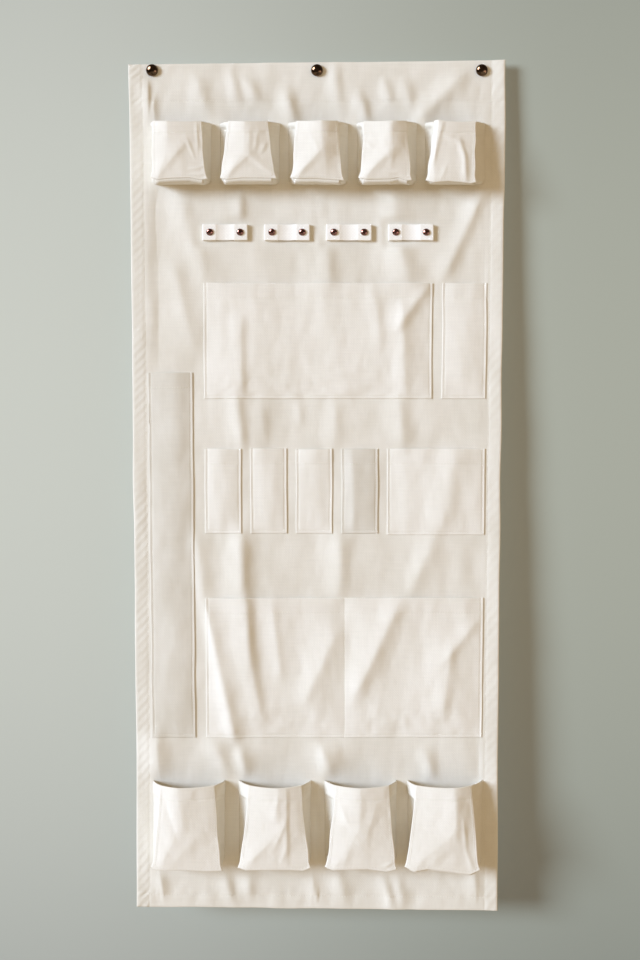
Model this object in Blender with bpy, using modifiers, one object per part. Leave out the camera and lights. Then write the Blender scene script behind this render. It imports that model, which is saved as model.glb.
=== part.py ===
"""Hanging wall organizer in heavy cotton canvas.

One canvas panel hangs on three dome-headed nails. From the top it carries five
small bellows pockets, four riveted tool straps, a wide and a narrow flat
pocket, a long ruler pocket down the left side, four pencil pockets and a
notepad pocket, one big pocket stitched into two, and four large bellows
pockets.

Frame: the origin is on the wall plane at the centre nail's axis, +X to the
viewer's right, +Z up, and the cloth faces -Y. Lengths are in metres.
"""

import math

import bmesh
import bpy

# Canvas and the clearance that sewn layers keep
CANVAS = 0.0009
SEAM_GAP = 0.00045
HEM_LAYERS = 3
POCKET_HEM_LAYERS = 2

# Panel
TOP_EDGE_ABOVE_NAILS = 0.0112
SIDE_MARGIN = 0.0205
FOOT_MARGIN = 0.059
SIDE_HEM = 0.0185
TOP_HEM = 0.051
FOOT_HEM = 0.018
HEM_STEP = 0.0018
PANEL_DRAW_IN = 0.0105
DRAW_IN_LENGTH = 0.872
RIPPLE_HEIGHT = 0.0016
RIPPLE_LENGTH = 0.121
RIPPLE_DRIFT_LENGTH = 1.9

# Layout: every pocket hangs between the side margins, row under row
CONTENT_WIDTH = 0.431
COLUMN_GAP = 0.0145
SMALL_ROW_LEFT_INSET = 0.008
SMALL_ROW_RIGHT_INSET = 0.005
LARGE_ROW_LEFT_INSET = 0.0015
NAILS_TO_SMALL_ROW = 0.066
SMALL_ROW_TO_STRAPS = 0.0505
STRAPS_TO_FLAT_ROW = 0.053
FLAT_ROW_TO_PENCILS = 0.0625
PENCILS_TO_DOUBLE = 0.0805
DOUBLE_TO_LARGE_ROW = 0.0535

# Flat pockets
WIDE_POCKET_HEIGHT = 0.1444
NARROW_POCKET_WIDTH = 0.0565
NARROW_POCKET_GAP = 0.0125
RULER_POCKET_WIDTH = 0.057
RULER_POCKET_HEIGHT = 0.4555
PENCIL_POCKET_WIDTH = 0.047
PENCIL_POCKET_GAP = 0.0115
PENCIL_POCKET_HEIGHT = 0.1056
NOTEPAD_POCKET_HEIGHT = 0.1075
DOUBLE_POCKET_HEIGHT = 0.1745
POCKET_HEM = 0.020
SLIM_EASE = 0.0068
BROAD_EASE = 0.007
SIDE_RUN = 0.006
FOOT_RUN = 0.011
DIVIDER_RUN = 0.005
RISE_STEP_SHARE = 0.45

# Small bellows pockets
SMALL_POCKET_COUNT = 5
SMALL_POCKET_GAP = 0.012
SMALL_POCKET_HEIGHT = 0.0765
SMALL_POCKET_DEPTH = 0.034
SMALL_MOUTH_DEPTH = 0.020
SMALL_MOUTH_DROOP = 0.0045
SMALL_CROWN = 0.006
SMALL_FOOT_WIDTH_SHARES = (0.90, 0.90, 0.85, 0.85, 0.80)
SMALL_MOUTH_WIDTH_SHARES = (0.82, 0.66, 0.70, 0.71, 0.70)
SMALL_FOOT_SHIFT_SHARES = (0.02, 0.0, -0.03, -0.09, -0.22)
SMALL_MOUTH_SHIFT_SHARES = (-0.11, -0.04, -0.04, -0.07, -0.05)

# Large bellows pockets
LARGE_POCKET_COUNT = 4
LARGE_POCKET_GAP = 0.019
LARGE_POCKET_HEIGHT = 0.102
LARGE_POCKET_DEPTH = 0.036
LARGE_MOUTH_DEPTH = 0.022
LARGE_MOUTH_DROOP = 0.0035
LARGE_CROWN = 0.0075
LARGE_FOOT_WIDTH_SHARES = (0.94, 0.97, 0.95, 0.965)
LARGE_MOUTH_WIDTH_SHARES = (0.76, 0.72, 0.75, 0.74)
LARGE_FOOT_SHIFT_SHARES = (0.02, 0.02, -0.01, -0.13)
LARGE_MOUTH_SHIFT_SHARES = (0.01, 0.03, 0.04, -0.06)

# Both kinds of bellows pocket
FOOT_CROWN = 0.0015
EAR_REACH = 0.0016
EAR_RISE = 0.009
GUSSET_SETBACK = 0.0008
GUSSET_CORNER = 0.006
GUSSET_SAG = 0.0012

# Tool straps of cotton webbing, folded at both ends
STRAP_COUNT = 4
STRAP_GAP = 0.0222
STRAP_WIDTH = 0.020
STRAP_FOLD = 0.0165
STRAP_STEP = 0.0015
STRAP_DIP = 0.0004
WEBBING = 0.0016
STRAP_END_LAYERS = 4

# Copper cap rivets
RIVET_RADIUS = 0.0045
RIVET_DOME = 0.0021
RIVET_RIM = 0.0006
RIVET_BACK = 0.0008
RIVET_SHANK_RADIUS = 0.0016
RIVET_INSET = 0.0088

# Eyelets, their washers, and the dome-headed nails through them
NAIL_FROM_SIDE = 0.030
NAIL_HEAD_RADIUS = 0.0076
NAIL_HEAD_HEIGHT = 0.0048
NAIL_SHANK_RADIUS = 0.0015
NAIL_IN_WALL = 0.022
NAIL_POINT = 0.004
EYELET_BORE_RADIUS = 0.0022
EYELET_WALL = 0.0006
EYELET_FLANGE_RADIUS = 0.0048
EYELET_FLANGE = 0.0007
EYELET_FLARE = 0.0004
WASHER_RADIUS = 0.0045
WASHER_THICKNESS = 0.0005
METAL_GAP = 0.0003
CUT_OVERRUN = 0.002

# How finely curved pieces are divided
RIVET_SIDES = 12
NAIL_SIDES = 16
EYELET_SIDES = 12
DOME_STEPS = 4

# Worked-out sizes and places
HEM_THICKNESS = HEM_LAYERS * CANVAS
PANEL_HALF_WIDTH = CONTENT_WIDTH / 2 + SIDE_MARGIN
CONTENT_LEFT = -CONTENT_WIDTH / 2
CONTENT_RIGHT = CONTENT_WIDTH / 2
MAIN_LEFT = CONTENT_LEFT + RULER_POCKET_WIDTH + COLUMN_GAP

SMALL_TOP = -NAILS_TO_SMALL_ROW
STRAP_TOP = SMALL_TOP - SMALL_POCKET_HEIGHT - SMALL_ROW_TO_STRAPS
FLAT_TOP = STRAP_TOP - STRAP_WIDTH - STRAPS_TO_FLAT_ROW
PENCIL_TOP = FLAT_TOP - WIDE_POCKET_HEIGHT - FLAT_ROW_TO_PENCILS
PENCIL_ROW_HEIGHT = max(PENCIL_POCKET_HEIGHT, NOTEPAD_POCKET_HEIGHT)
DOUBLE_TOP = PENCIL_TOP - PENCIL_ROW_HEIGHT - PENCILS_TO_DOUBLE + (
    NOTEPAD_POCKET_HEIGHT - PENCIL_POCKET_HEIGHT
)
DOUBLE_FOOT = DOUBLE_TOP - DOUBLE_POCKET_HEIGHT
LARGE_TOP = DOUBLE_FOOT - DOUBLE_TO_LARGE_ROW
PANEL_TOP = TOP_EDGE_ABOVE_NAILS
PANEL_FOOT = LARGE_TOP - LARGE_POCKET_HEIGHT - FOOT_MARGIN
PANEL_HEIGHT = PANEL_TOP - PANEL_FOOT

# sRGB colours, roughness and metallic value of each finish
CANVAS_FINISH = ((0.90, 0.87, 0.81), 0.92, 0.0)
GUSSET_FINISH = ((0.87, 0.83, 0.76), 0.92, 0.0)
WEBBING_FINISH = ((0.89, 0.86, 0.80), 0.88, 0.0)
COPPER_FINISH = ((0.84, 0.53, 0.42), 0.18, 1.0)
BRASS_FINISH = ((0.42, 0.33, 0.22), 0.30, 1.0)
EYELET_FINISH = ((0.72, 0.60, 0.38), 0.35, 1.0)


# Scene, collections and finishes


def clear_scene():
    for item in list(bpy.data.objects):
        bpy.data.objects.remove(item, do_unlink=True)


def new_collection(name):
    collection = bpy.data.collections.new(name)
    bpy.context.scene.collection.children.link(collection)
    return collection


def linear(value):
    """One sRGB channel as the linear value that the shader takes."""
    return value / 12.92 if value <= 0.04045 else ((value + 0.055) / 1.055) ** 2.4


def finish(item, look):
    colour, roughness, metallic = look
    material = bpy.data.materials.new(item.name + "_finish")
    material.use_nodes = True
    shader = material.node_tree.nodes["Principled BSDF"]
    shader.inputs["Base Color"].default_value = (*map(linear, colour), 1.0)
    shader.inputs["Roughness"].default_value = roughness
    shader.inputs["Metallic"].default_value = metallic
    item.data.materials.append(material)


def add_object(name, mesh, collection, location=(0.0, 0.0, 0.0)):
    item = bpy.data.objects.new(name, mesh)
    item.location = location
    collection.objects.link(item)
    return item


# How the cloth hangs


def hang_share(z):
    """Width at height z as a share of the width at the top edge: the hems draw the cloth in."""
    fall = min(1.0, max(0.0, (PANEL_TOP - z) / DRAW_IN_LENGTH))
    return 1.0 - fall * PANEL_DRAW_IN / PANEL_HALF_WIDTH


def hung(x, z):
    """Where a point of the flat layout lies across the wall once the cloth hangs."""
    return x * hang_share(z)


def ripple(x, z):
    """How far the soft vertical folds lift the cloth off the wall, none at the hems."""
    inner_width = hung(PANEL_HALF_WIDTH - SIDE_HEM - HEM_STEP, z)
    inner_top = PANEL_TOP - TOP_HEM - HEM_STEP
    inner_foot = PANEL_FOOT + FOOT_HEM + HEM_STEP
    if abs(x) >= inner_width or z >= inner_top or z <= inner_foot:
        return 0.0
    across = 1.0 - (x / inner_width) ** 4
    share = (z - inner_foot) / (inner_top - inner_foot)
    along = 4.0 * share * (1.0 - share)
    turns = x / RIPPLE_LENGTH + z / RIPPLE_DRIFT_LENGTH
    return RIPPLE_HEIGHT * across * along * (0.5 + 0.5 * math.cos(math.tau * turns))


def panel_face(x, z):
    """Distance from the wall to the front of the panel."""
    return HEM_THICKNESS + ripple(x, z)


def smooth(share):
    share = min(1.0, max(0.0, share))
    return share * share * (3.0 - 2.0 * share)


def rise(distance, run):
    """0 at a sewn edge, 1 once the cloth has risen from it over the run."""
    return math.sin(0.5 * math.pi * min(1.0, max(0.0, distance / run)))


def between(start, end, count):
    """Evenly spaced values strictly between start and end."""
    return [start + (end - start) * i / (count + 1) for i in range(1, count + 1)]


# Cloth as grids with a wall


def cloth_piece(name, across, up, place, layers, thickness, collection, location, look):
    """A sheet on a grid: place(a, u) is a point of its front, layers(a, u) the share of its wall."""
    work = bmesh.new()
    columns = len(across) - 1
    rows = len(up) - 1
    bmesh.ops.create_grid(work, x_segments=columns, y_segments=rows, size=1.0)
    shares = {}
    for vertex in work.verts:
        i = round((vertex.co.x + 1.0) / 2.0 * columns)
        j = round((vertex.co.y + 1.0) / 2.0 * rows)
        x, y, z = place(across[i], up[j])
        vertex.co = (x - location[0], y - location[1], z - location[2])
        shares[vertex.index] = layers(across[i], up[j])
    mesh = bpy.data.meshes.new(name)
    work.to_mesh(mesh)
    work.free()
    item = add_object(name, mesh, collection, location)
    group = item.vertex_groups.new(name="layers")
    for index, share in shares.items():
        group.add([index], share, "REPLACE")
    wall = item.modifiers.new("wall", "SOLIDIFY")
    wall.thickness = thickness
    wall.offset = -1.0
    wall.vertex_group = group.name
    triangles = item.modifiers.new("triangles", "TRIANGULATE")
    triangles.quad_method = "FIXED"
    mesh.shade_smooth()
    mesh.set_sharp_from_angle(angle=math.radians(40.0))
    finish(item, look)
    return item


def drill(item, radius, x, z, near, far, cutters):
    """Cuts a round hole along Y from near to far, both measured from the wall."""
    work = bmesh.new()
    bmesh.ops.create_cone(
        work,
        cap_ends=True,
        segments=RIVET_SIDES,
        radius1=radius,
        radius2=radius,
        depth=far - near,
    )
    mesh = bpy.data.meshes.new("cutter")
    work.to_mesh(mesh)
    work.free()
    cutter = add_object("cutter", mesh, cutters, (x, -(near + far) / 2.0, z))
    cutter.rotation_euler = (math.pi / 2.0, 0.0, 0.0)
    cutter.hide_render = True
    cutter.display_type = "WIRE"
    cut = item.modifiers.new("hole", "BOOLEAN")
    cut.operation = "DIFFERENCE"
    cut.solver = "EXACT"
    cut.object = cutter


def turned(name, profile, sides, collection, location, look, closed=False):
    """A piece turned about the axis that leaves the wall; profile holds (radius, distance from the wall)."""
    work = bmesh.new()
    points = [work.verts.new((radius, 0.0, height)) for radius, height in profile]
    for first, second in zip(points, points[1:]):
        work.edges.new((first, second))
    if closed:
        work.edges.new((points[-1], points[0]))
    mesh = bpy.data.meshes.new(name)
    work.to_mesh(mesh)
    work.free()
    item = add_object(name, mesh, collection, location)
    item.rotation_euler = (math.pi / 2.0, 0.0, 0.0)
    spin = item.modifiers.new("turn", "SCREW")
    spin.steps = sides
    spin.render_steps = sides
    spin.use_merge_vertices = True
    spin.merge_threshold = 0.00001
    spin.use_smooth_shade = True
    finish(item, look)
    return item


# Panel


def build_panel(parts, cutters):
    half = PANEL_HALF_WIDTH
    inner = half - SIDE_HEM
    web = inner - HEM_STEP
    across = [-half, -inner, -web, *between(-web, web, 17), web, inner, half]
    top_web = PANEL_TOP - TOP_HEM - HEM_STEP
    foot_web = PANEL_FOOT + FOOT_HEM + HEM_STEP
    up = [
        PANEL_FOOT,
        PANEL_FOOT + FOOT_HEM,
        foot_web,
        *between(foot_web, top_web, 11),
        top_web,
        PANEL_TOP - TOP_HEM,
        PANEL_TOP,
    ]

    def place(x, z):
        wide = hung(x, z)
        return wide, -panel_face(wide, z), z

    def layers(x, z):
        in_web = abs(x) <= web and foot_web <= z <= top_web
        return 1.0 / HEM_LAYERS if in_web else 1.0

    panel = cloth_piece(
        "back_panel", across, up, place, layers, HEM_THICKNESS, parts, (0.0, 0.0, 0.0), CANVAS_FINISH
    )
    for x in nail_places():
        build_hanging_point_holes(panel, x, cutters)
    for x, z in rivet_places():
        reach = panel_face(x, z) + CUT_OVERRUN
        drill(panel, RIVET_SHANK_RADIUS + METAL_GAP, x, z, -CUT_OVERRUN, reach, cutters)
    return panel


# Flat pockets


def build_flat_pocket(name, left, right, top, height, ease, columns, rows, parts, divider=None):
    """A sheet sewn down at its sides and foot that stands off by its ease and opens at the top."""
    foot = top - height
    hem_line = top - POCKET_HEM
    sides = [left, left + RISE_STEP_SHARE * SIDE_RUN, left + SIDE_RUN]
    far_sides = [right - SIDE_RUN, right - RISE_STEP_SHARE * SIDE_RUN, right]
    if divider is None:
        across = sides + between(sides[-1], far_sides[0], columns) + far_sides
    else:
        seam = [divider - DIVIDER_RUN, divider, divider + DIVIDER_RUN]
        across = sides + between(sides[-1], seam[0], columns) + seam
        across += between(seam[-1], far_sides[0], columns) + far_sides
    up = [foot, foot + RISE_STEP_SHARE * FOOT_RUN, foot + FOOT_RUN]
    up += between(up[-1], hem_line, rows) + [hem_line, top]
    edge_lift = POCKET_HEM_LAYERS * CANVAS

    def place(x, z):
        wide = hung(x, z)
        lift = rise(min(x - left, right - x), SIDE_RUN) * rise(z - foot, FOOT_RUN)
        base = edge_lift
        if divider is not None:
            near_seam = rise(abs(x - divider), DIVIDER_RUN)
            lift *= near_seam
            base = CANVAS + (edge_lift - CANVAS) * max(near_seam, 1.0 - rise(z - foot, FOOT_RUN))
        stand = base + (ease + CANVAS - edge_lift) * lift
        return wide, -(panel_face(wide, z) + SEAM_GAP + stand), z

    def layers(x, z):
        at_edge = x in (left, right) or z == foot or z >= hem_line
        at_divider = x == divider and z > foot
        return 1.0 if at_edge and not at_divider else 1.0 / POCKET_HEM_LAYERS

    middle = hung((left + right) / 2.0, foot)
    return cloth_piece(
        name, across, up, place, layers, edge_lift, parts, (middle, 0.0, foot), CANVAS_FINISH
    )


def build_flat_pockets(parts):
    main_right = CONTENT_RIGHT - NARROW_POCKET_WIDTH - NARROW_POCKET_GAP
    build_flat_pocket(
        "wide_pocket", MAIN_LEFT, main_right, FLAT_TOP, WIDE_POCKET_HEIGHT, BROAD_EASE, 10, 2, parts
    )
    build_flat_pocket(
        "narrow_pocket",
        CONTENT_RIGHT - NARROW_POCKET_WIDTH,
        CONTENT_RIGHT,
        FLAT_TOP,
        WIDE_POCKET_HEIGHT,
        SLIM_EASE,
        1,
        2,
        parts,
    )
    build_flat_pocket(
        "ruler_pocket",
        CONTENT_LEFT,
        CONTENT_LEFT + RULER_POCKET_WIDTH,
        DOUBLE_FOOT + RULER_POCKET_HEIGHT,
        RULER_POCKET_HEIGHT,
        BROAD_EASE,
        1,
        8,
        parts,
    )
    pitch = PENCIL_POCKET_WIDTH + PENCIL_POCKET_GAP
    for number in range(4):
        left = MAIN_LEFT + number * pitch
        build_flat_pocket(
            f"pencil_pocket_{number + 1}",
            left,
            left + PENCIL_POCKET_WIDTH,
            PENCIL_TOP,
            PENCIL_POCKET_HEIGHT,
            SLIM_EASE,
            1,
            1,
            parts,
        )
    build_flat_pocket(
        "notepad_pocket",
        MAIN_LEFT + 4 * pitch,
        CONTENT_RIGHT,
        PENCIL_TOP,
        NOTEPAD_POCKET_HEIGHT,
        SLIM_EASE,
        4,
        1,
        parts,
    )
    build_flat_pocket(
        "double_pocket",
        MAIN_LEFT,
        CONTENT_RIGHT,
        DOUBLE_TOP,
        DOUBLE_POCKET_HEIGHT,
        BROAD_EASE,
        6,
        2,
        parts,
        divider=(MAIN_LEFT + CONTENT_RIGHT) / 2.0,
    )


# Bellows pockets


def bellows_shape(centre, half, top, height, depth, mouth_depth, droop, crown, foot_shares, mouth_shares):
    """Gives edge(s, t), a point of the front, for s from -1 to 1 across and t from 0 at the foot to 1.

    Foot and mouth each have a width and a shift to the side, as shares of half the sewn width. The
    front narrows and draws nearer to the wall towards the mouth, its middle crowns outwards, its top
    edge droops between the corners, and its two lower corners stick out as small ears.
    """
    foot = top - height
    base = panel_face(centre, foot)
    ear_share = EAR_RISE / height

    def edge(s, t):
        eased = smooth(0.15 + 0.85 * t) if t > 0.0 else 0.0
        width_share = foot_shares[0] + (mouth_shares[0] - foot_shares[0]) * eased
        shift_share = foot_shares[1] + (mouth_shares[1] - foot_shares[1]) * t
        ear = EAR_REACH * max(0.0, 1.0 - t / ear_share) * s ** 3
        x = centre + half * (s * width_share + shift_share) + ear
        stand = depth + (mouth_depth - depth) * t ** 1.4
        crowning = (FOOT_CROWN + (crown - FOOT_CROWN) * t) * (1.0 - s * s)
        z = foot + (height - droop * (1.0 - 0.55 * s * s)) * t
        return x, -(base + stand + crowning), z

    return edge


def build_bellows_pocket(name, number, edge, centre, half, top, height, parts):
    foot = top - height
    origin = (centre, 0.0, foot)
    across = [-1.0, -0.82, -0.45, 0.0, 0.45, 0.82, 1.0]
    up = [0.0, 0.07, 0.2, 0.42, 0.64, 0.84, 1.0]

    def layers(s, t):
        return 1.0 if t >= 0.84 or abs(s) == 1.0 or t == 0.0 else 1.0 / POCKET_HEM_LAYERS

    cloth_piece(
        f"{name}_front_{number}",
        across,
        up,
        edge,
        layers,
        POCKET_HEM_LAYERS * CANVAS,
        parts,
        origin,
        CANVAS_FINISH,
    )
    build_gusset(f"{name}_gusset_{number}", edge, centre, half, top, height, origin, parts)


def build_gusset(name, edge, centre, half, top, height, origin, parts):
    """A strip that runs down one side, round the foot and up the other, from the panel to the front."""
    foot = top - height
    corner = GUSSET_CORNER
    side = [1.0, 0.84, 0.64, 0.42, 0.22]
    turn = [0.0, 0.5, 1.0]
    base = [-0.45, 0.0, 0.45]
    stations = [("side", -1.0, t) for t in side]
    stations += [("turn", -1.0, a) for a in turn]
    stations += [("base", 0.0, s) for s in base]
    stations += [("turn", 1.0, a) for a in reversed(turn)]
    stations += [("side", 1.0, t) for t in reversed(side)]
    behind = POCKET_HEM_LAYERS * CANVAS * 1.25 + SEAM_GAP

    def rear_point(kind, sign, value):
        if kind == "side":
            x, z = centre + sign * half, foot + height * value
        elif kind == "base":
            x, z = centre + value * half, foot
        else:
            angle = value * math.pi / 2.0
            x = centre + sign * (half - corner * (1.0 - math.cos(angle)))
            z = foot + corner * (1.0 - math.sin(angle))
        return [x, -(panel_face(x, z) + SEAM_GAP), z]

    def front_point(kind, sign, value):
        if kind == "side":
            x, y, z = edge(sign, value)
            x -= sign * GUSSET_SETBACK
        elif kind == "base":
            x, y, z = edge(value, 0.0)
            z += GUSSET_SETBACK
        else:
            angle = value * math.pi / 2.0
            t = corner / height * (1.0 - math.sin(angle))
            x, y, z = edge(sign, t)
            foot_side = edge(sign, 0.0)[0] - sign * EAR_REACH
            x = foot_side - sign * (GUSSET_SETBACK + corner * (1.0 - math.cos(angle)))
            z += GUSSET_SETBACK * math.sin(angle)
        return x, y + behind, z

    def place(index, share):
        station = stations[round(index)]
        rear = rear_point(*station)
        front = front_point(*station)
        slant = math.hypot(front[0] - rear[0], front[2] - rear[2])
        rear[1] -= CANVAS * slant / math.hypot(slant, front[1] - rear[1])
        point = [a + (b - a) * share for a, b in zip(rear, front)]
        inward = GUSSET_SAG * 4.0 * share * (1.0 - share)
        if station[0] == "side":
            point[0] -= station[1] * inward
        elif station[0] == "base":
            point[2] += inward
        return point

    cloth_piece(
        name,
        list(range(len(stations))),
        [0.0, 0.5, 1.0],
        place,
        lambda index, share: 1.0,
        CANVAS,
        parts,
        origin,
        GUSSET_FINISH,
    )


def build_bellows_rows(parts):
    small_left = CONTENT_LEFT + SMALL_ROW_LEFT_INSET
    small_right = CONTENT_RIGHT - SMALL_ROW_RIGHT_INSET
    build_bellows_row(
        "small_pocket",
        SMALL_POCKET_COUNT,
        small_left,
        small_right,
        SMALL_POCKET_GAP,
        SMALL_TOP,
        SMALL_POCKET_HEIGHT,
        (SMALL_POCKET_DEPTH, SMALL_MOUTH_DEPTH, SMALL_MOUTH_DROOP, SMALL_CROWN),
        list(zip(SMALL_FOOT_WIDTH_SHARES, SMALL_FOOT_SHIFT_SHARES)),
        list(zip(SMALL_MOUTH_WIDTH_SHARES, SMALL_MOUTH_SHIFT_SHARES)),
        parts,
    )
    build_bellows_row(
        "large_pocket",
        LARGE_POCKET_COUNT,
        CONTENT_LEFT + LARGE_ROW_LEFT_INSET,
        CONTENT_RIGHT,
        LARGE_POCKET_GAP,
        LARGE_TOP,
        LARGE_POCKET_HEIGHT,
        (LARGE_POCKET_DEPTH, LARGE_MOUTH_DEPTH, LARGE_MOUTH_DROOP, LARGE_CROWN),
        list(zip(LARGE_FOOT_WIDTH_SHARES, LARGE_FOOT_SHIFT_SHARES)),
        list(zip(LARGE_MOUTH_WIDTH_SHARES, LARGE_MOUTH_SHIFT_SHARES)),
        parts,
    )


def build_bellows_row(name, count, left, right, gap, top, height, form, foot_shares, mouth_shares, parts):
    width = (right - left - (count - 1) * gap) / count
    middle_height = top - height / 2.0
    for number in range(count):
        centre = hung(left + width / 2.0 + number * (width + gap), middle_height)
        half = hung(width, middle_height) / 2.0
        edge = bellows_shape(centre, half, top, height, *form, foot_shares[number], mouth_shares[number])
        build_bellows_pocket(name, number + 1, edge, centre, half, top, height, parts)


# Straps and rivets


def strap_width_across():
    span = CONTENT_RIGHT - NARROW_POCKET_WIDTH - NARROW_POCKET_GAP - MAIN_LEFT
    return (span - (STRAP_COUNT - 1) * STRAP_GAP) / STRAP_COUNT


def strap_places():
    """Left and right end of each strap, as hung."""
    middle = STRAP_TOP - STRAP_WIDTH / 2.0
    length = strap_width_across()
    places = []
    for number in range(STRAP_COUNT):
        left = MAIN_LEFT + number * (length + STRAP_GAP)
        places.append((hung(left, middle), hung(left + length, middle)))
    return places


def rivet_places():
    middle = STRAP_TOP - STRAP_WIDTH / 2.0
    places = []
    for left, right in strap_places():
        places += [(left + RIVET_INSET, middle), (right - RIVET_INSET, middle)]
    return places


def build_straps(parts, cutters):
    middle = STRAP_TOP - STRAP_WIDTH / 2.0
    full = STRAP_END_LAYERS * WEBBING
    up = [STRAP_TOP - STRAP_WIDTH, middle, STRAP_TOP]
    for number, (left, right) in enumerate(strap_places()):
        fold_in = left + STRAP_FOLD
        fold_out = right - STRAP_FOLD
        across = [left, left + STRAP_FOLD / 2.0, fold_in, fold_in + STRAP_STEP]
        across += [(left + right) / 2.0, fold_out - STRAP_STEP, fold_out, right - STRAP_FOLD / 2.0, right]

        def place(x, z, left=left, right=right):
            dip = STRAP_DIP * max(0.0, 1.0 - (2.0 * (x - left) / (right - left) - 1.0) ** 4)
            return x, -(panel_face(x, z) + SEAM_GAP + full - dip), z

        def layers(x, z, fold_in=fold_in, fold_out=fold_out):
            return 1.0 / STRAP_END_LAYERS if fold_in < x < fold_out else 1.0

        origin = ((left + right) / 2.0, 0.0, middle)
        strap = cloth_piece(
            f"tool_strap_{number + 1}", across, up, place, layers, full, parts, origin, WEBBING_FINISH
        )
        for x in (left + RIVET_INSET, right - RIVET_INSET):
            far = panel_face(x, middle) + SEAM_GAP + full + CUT_OVERRUN
            drill(strap, RIVET_SHANK_RADIUS + METAL_GAP, x, middle, 0.0, far, cutters)


def dome(radius, height, foot, steps):
    """Profile of a dome from its crown out to its rim."""
    points = []
    for step in range(steps + 1):
        angle = math.pi / 2.0 * step / steps
        points.append((radius * math.sin(angle), foot + height * math.cos(angle)))
    return points


def build_rivets(parts):
    full = STRAP_END_LAYERS * WEBBING
    for index, (x, z) in enumerate(rivet_places()):
        seat = panel_face(x, z) + SEAM_GAP + full + METAL_GAP
        back = panel_face(x, z) - CANVAS - METAL_GAP
        profile = dome(RIVET_RADIUS, RIVET_DOME, seat + RIVET_RIM, DOME_STEPS)
        profile += [
            (RIVET_RADIUS, seat),
            (RIVET_SHANK_RADIUS, seat),
            (RIVET_SHANK_RADIUS, back),
            (RIVET_RADIUS, back),
            (RIVET_RADIUS, back - RIVET_BACK / 2.0),
            (RIVET_RADIUS * 0.8, back - RIVET_BACK),
            (0.0, back - RIVET_BACK),
        ]
        profile[0] = (0.0, profile[0][1])
        side = "right" if index % 2 else "left"
        name = f"strap_rivet_{index // 2 + 1}_{side}"
        turned(name, profile, RIVET_SIDES, parts, (x, 0.0, z), COPPER_FINISH)


# Hanging points


def nail_places():
    reach = PANEL_HALF_WIDTH - NAIL_FROM_SIDE
    return [-reach, 0.0, reach]


def eyelet_height():
    """The eyelet hangs on the shank, so its centre is below the nail's axis."""
    return -(EYELET_BORE_RADIUS - NAIL_SHANK_RADIUS - METAL_GAP)


def eyelet_barrel():
    return EYELET_BORE_RADIUS + EYELET_WALL


def washer_recess():
    return METAL_GAP + EYELET_FLARE + METAL_GAP + WASHER_THICKNESS + METAL_GAP


def build_hanging_point_holes(panel, x, cutters):
    z = eyelet_height()
    far = HEM_THICKNESS + CUT_OVERRUN
    drill(panel, eyelet_barrel() + METAL_GAP, x, z, -CUT_OVERRUN, far, cutters)
    drill(panel, WASHER_RADIUS + METAL_GAP, x, z, -CUT_OVERRUN, washer_recess(), cutters)


def build_hanging_points(parts):
    barrel = eyelet_barrel()
    flange_foot = HEM_THICKNESS + METAL_GAP
    flange_top = flange_foot + EYELET_FLANGE
    flare_top = METAL_GAP + EYELET_FLARE
    washer_foot = flare_top + METAL_GAP
    eyelet_profile = [
        (EYELET_BORE_RADIUS, flange_top),
        (EYELET_FLANGE_RADIUS - EYELET_FLANGE / 2.0, flange_top),
        (EYELET_FLANGE_RADIUS, flange_foot),
        (barrel, flange_foot),
        (barrel, flare_top),
        (barrel + 2.0 * EYELET_WALL, flare_top),
        (barrel + 2.0 * EYELET_WALL, METAL_GAP),
        (EYELET_BORE_RADIUS, METAL_GAP),
    ]
    washer_profile = [
        (barrel + METAL_GAP, washer_foot + WASHER_THICKNESS),
        (WASHER_RADIUS, washer_foot + WASHER_THICKNESS),
        (WASHER_RADIUS, washer_foot),
        (barrel + METAL_GAP, washer_foot),
    ]
    head_foot = flange_top + METAL_GAP
    nail_profile = dome(NAIL_HEAD_RADIUS, NAIL_HEAD_HEIGHT, head_foot, DOME_STEPS + 1)
    nail_profile[0] = (0.0, nail_profile[0][1])
    nail_profile += [
        (NAIL_SHANK_RADIUS, head_foot),
        (NAIL_SHANK_RADIUS, NAIL_POINT - NAIL_IN_WALL),
        (0.0, -NAIL_IN_WALL),
    ]
    for x, side in zip(nail_places(), ("left", "centre", "right")):
        seat = (x, 0.0, eyelet_height())
        turned(f"eyelet_{side}", eyelet_profile, EYELET_SIDES, parts, seat, EYELET_FINISH, True)
        turned(f"eyelet_washer_{side}", washer_profile, EYELET_SIDES, parts, seat, EYELET_FINISH, True)
        turned(f"hanging_nail_{side}", nail_profile, NAIL_SIDES, parts, (x, 0.0, 0.0), BRASS_FINISH)


def main():
    clear_scene()
    parts = new_collection("hanging_wall_organizer")
    cutters = new_collection("cutters")
    build_panel(parts, cutters)
    build_bellows_rows(parts)
    build_straps(parts, cutters)
    build_rivets(parts)
    build_flat_pockets(parts)
    build_hanging_points(parts)


main()
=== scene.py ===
"""Looks of the hanging wall organizer, built around the packed frame.

A heavy canvas panel hangs on three dome-headed nails. Every soft solid of the frame gets a finer
piece of cloth in its place, with hems, folds and stitches, and every metal solid a finer turned one.
Lengths are in metres, in the frame's own axes: the wall is the plane y = 0, the cloth faces -Y.
"""

import math

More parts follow.
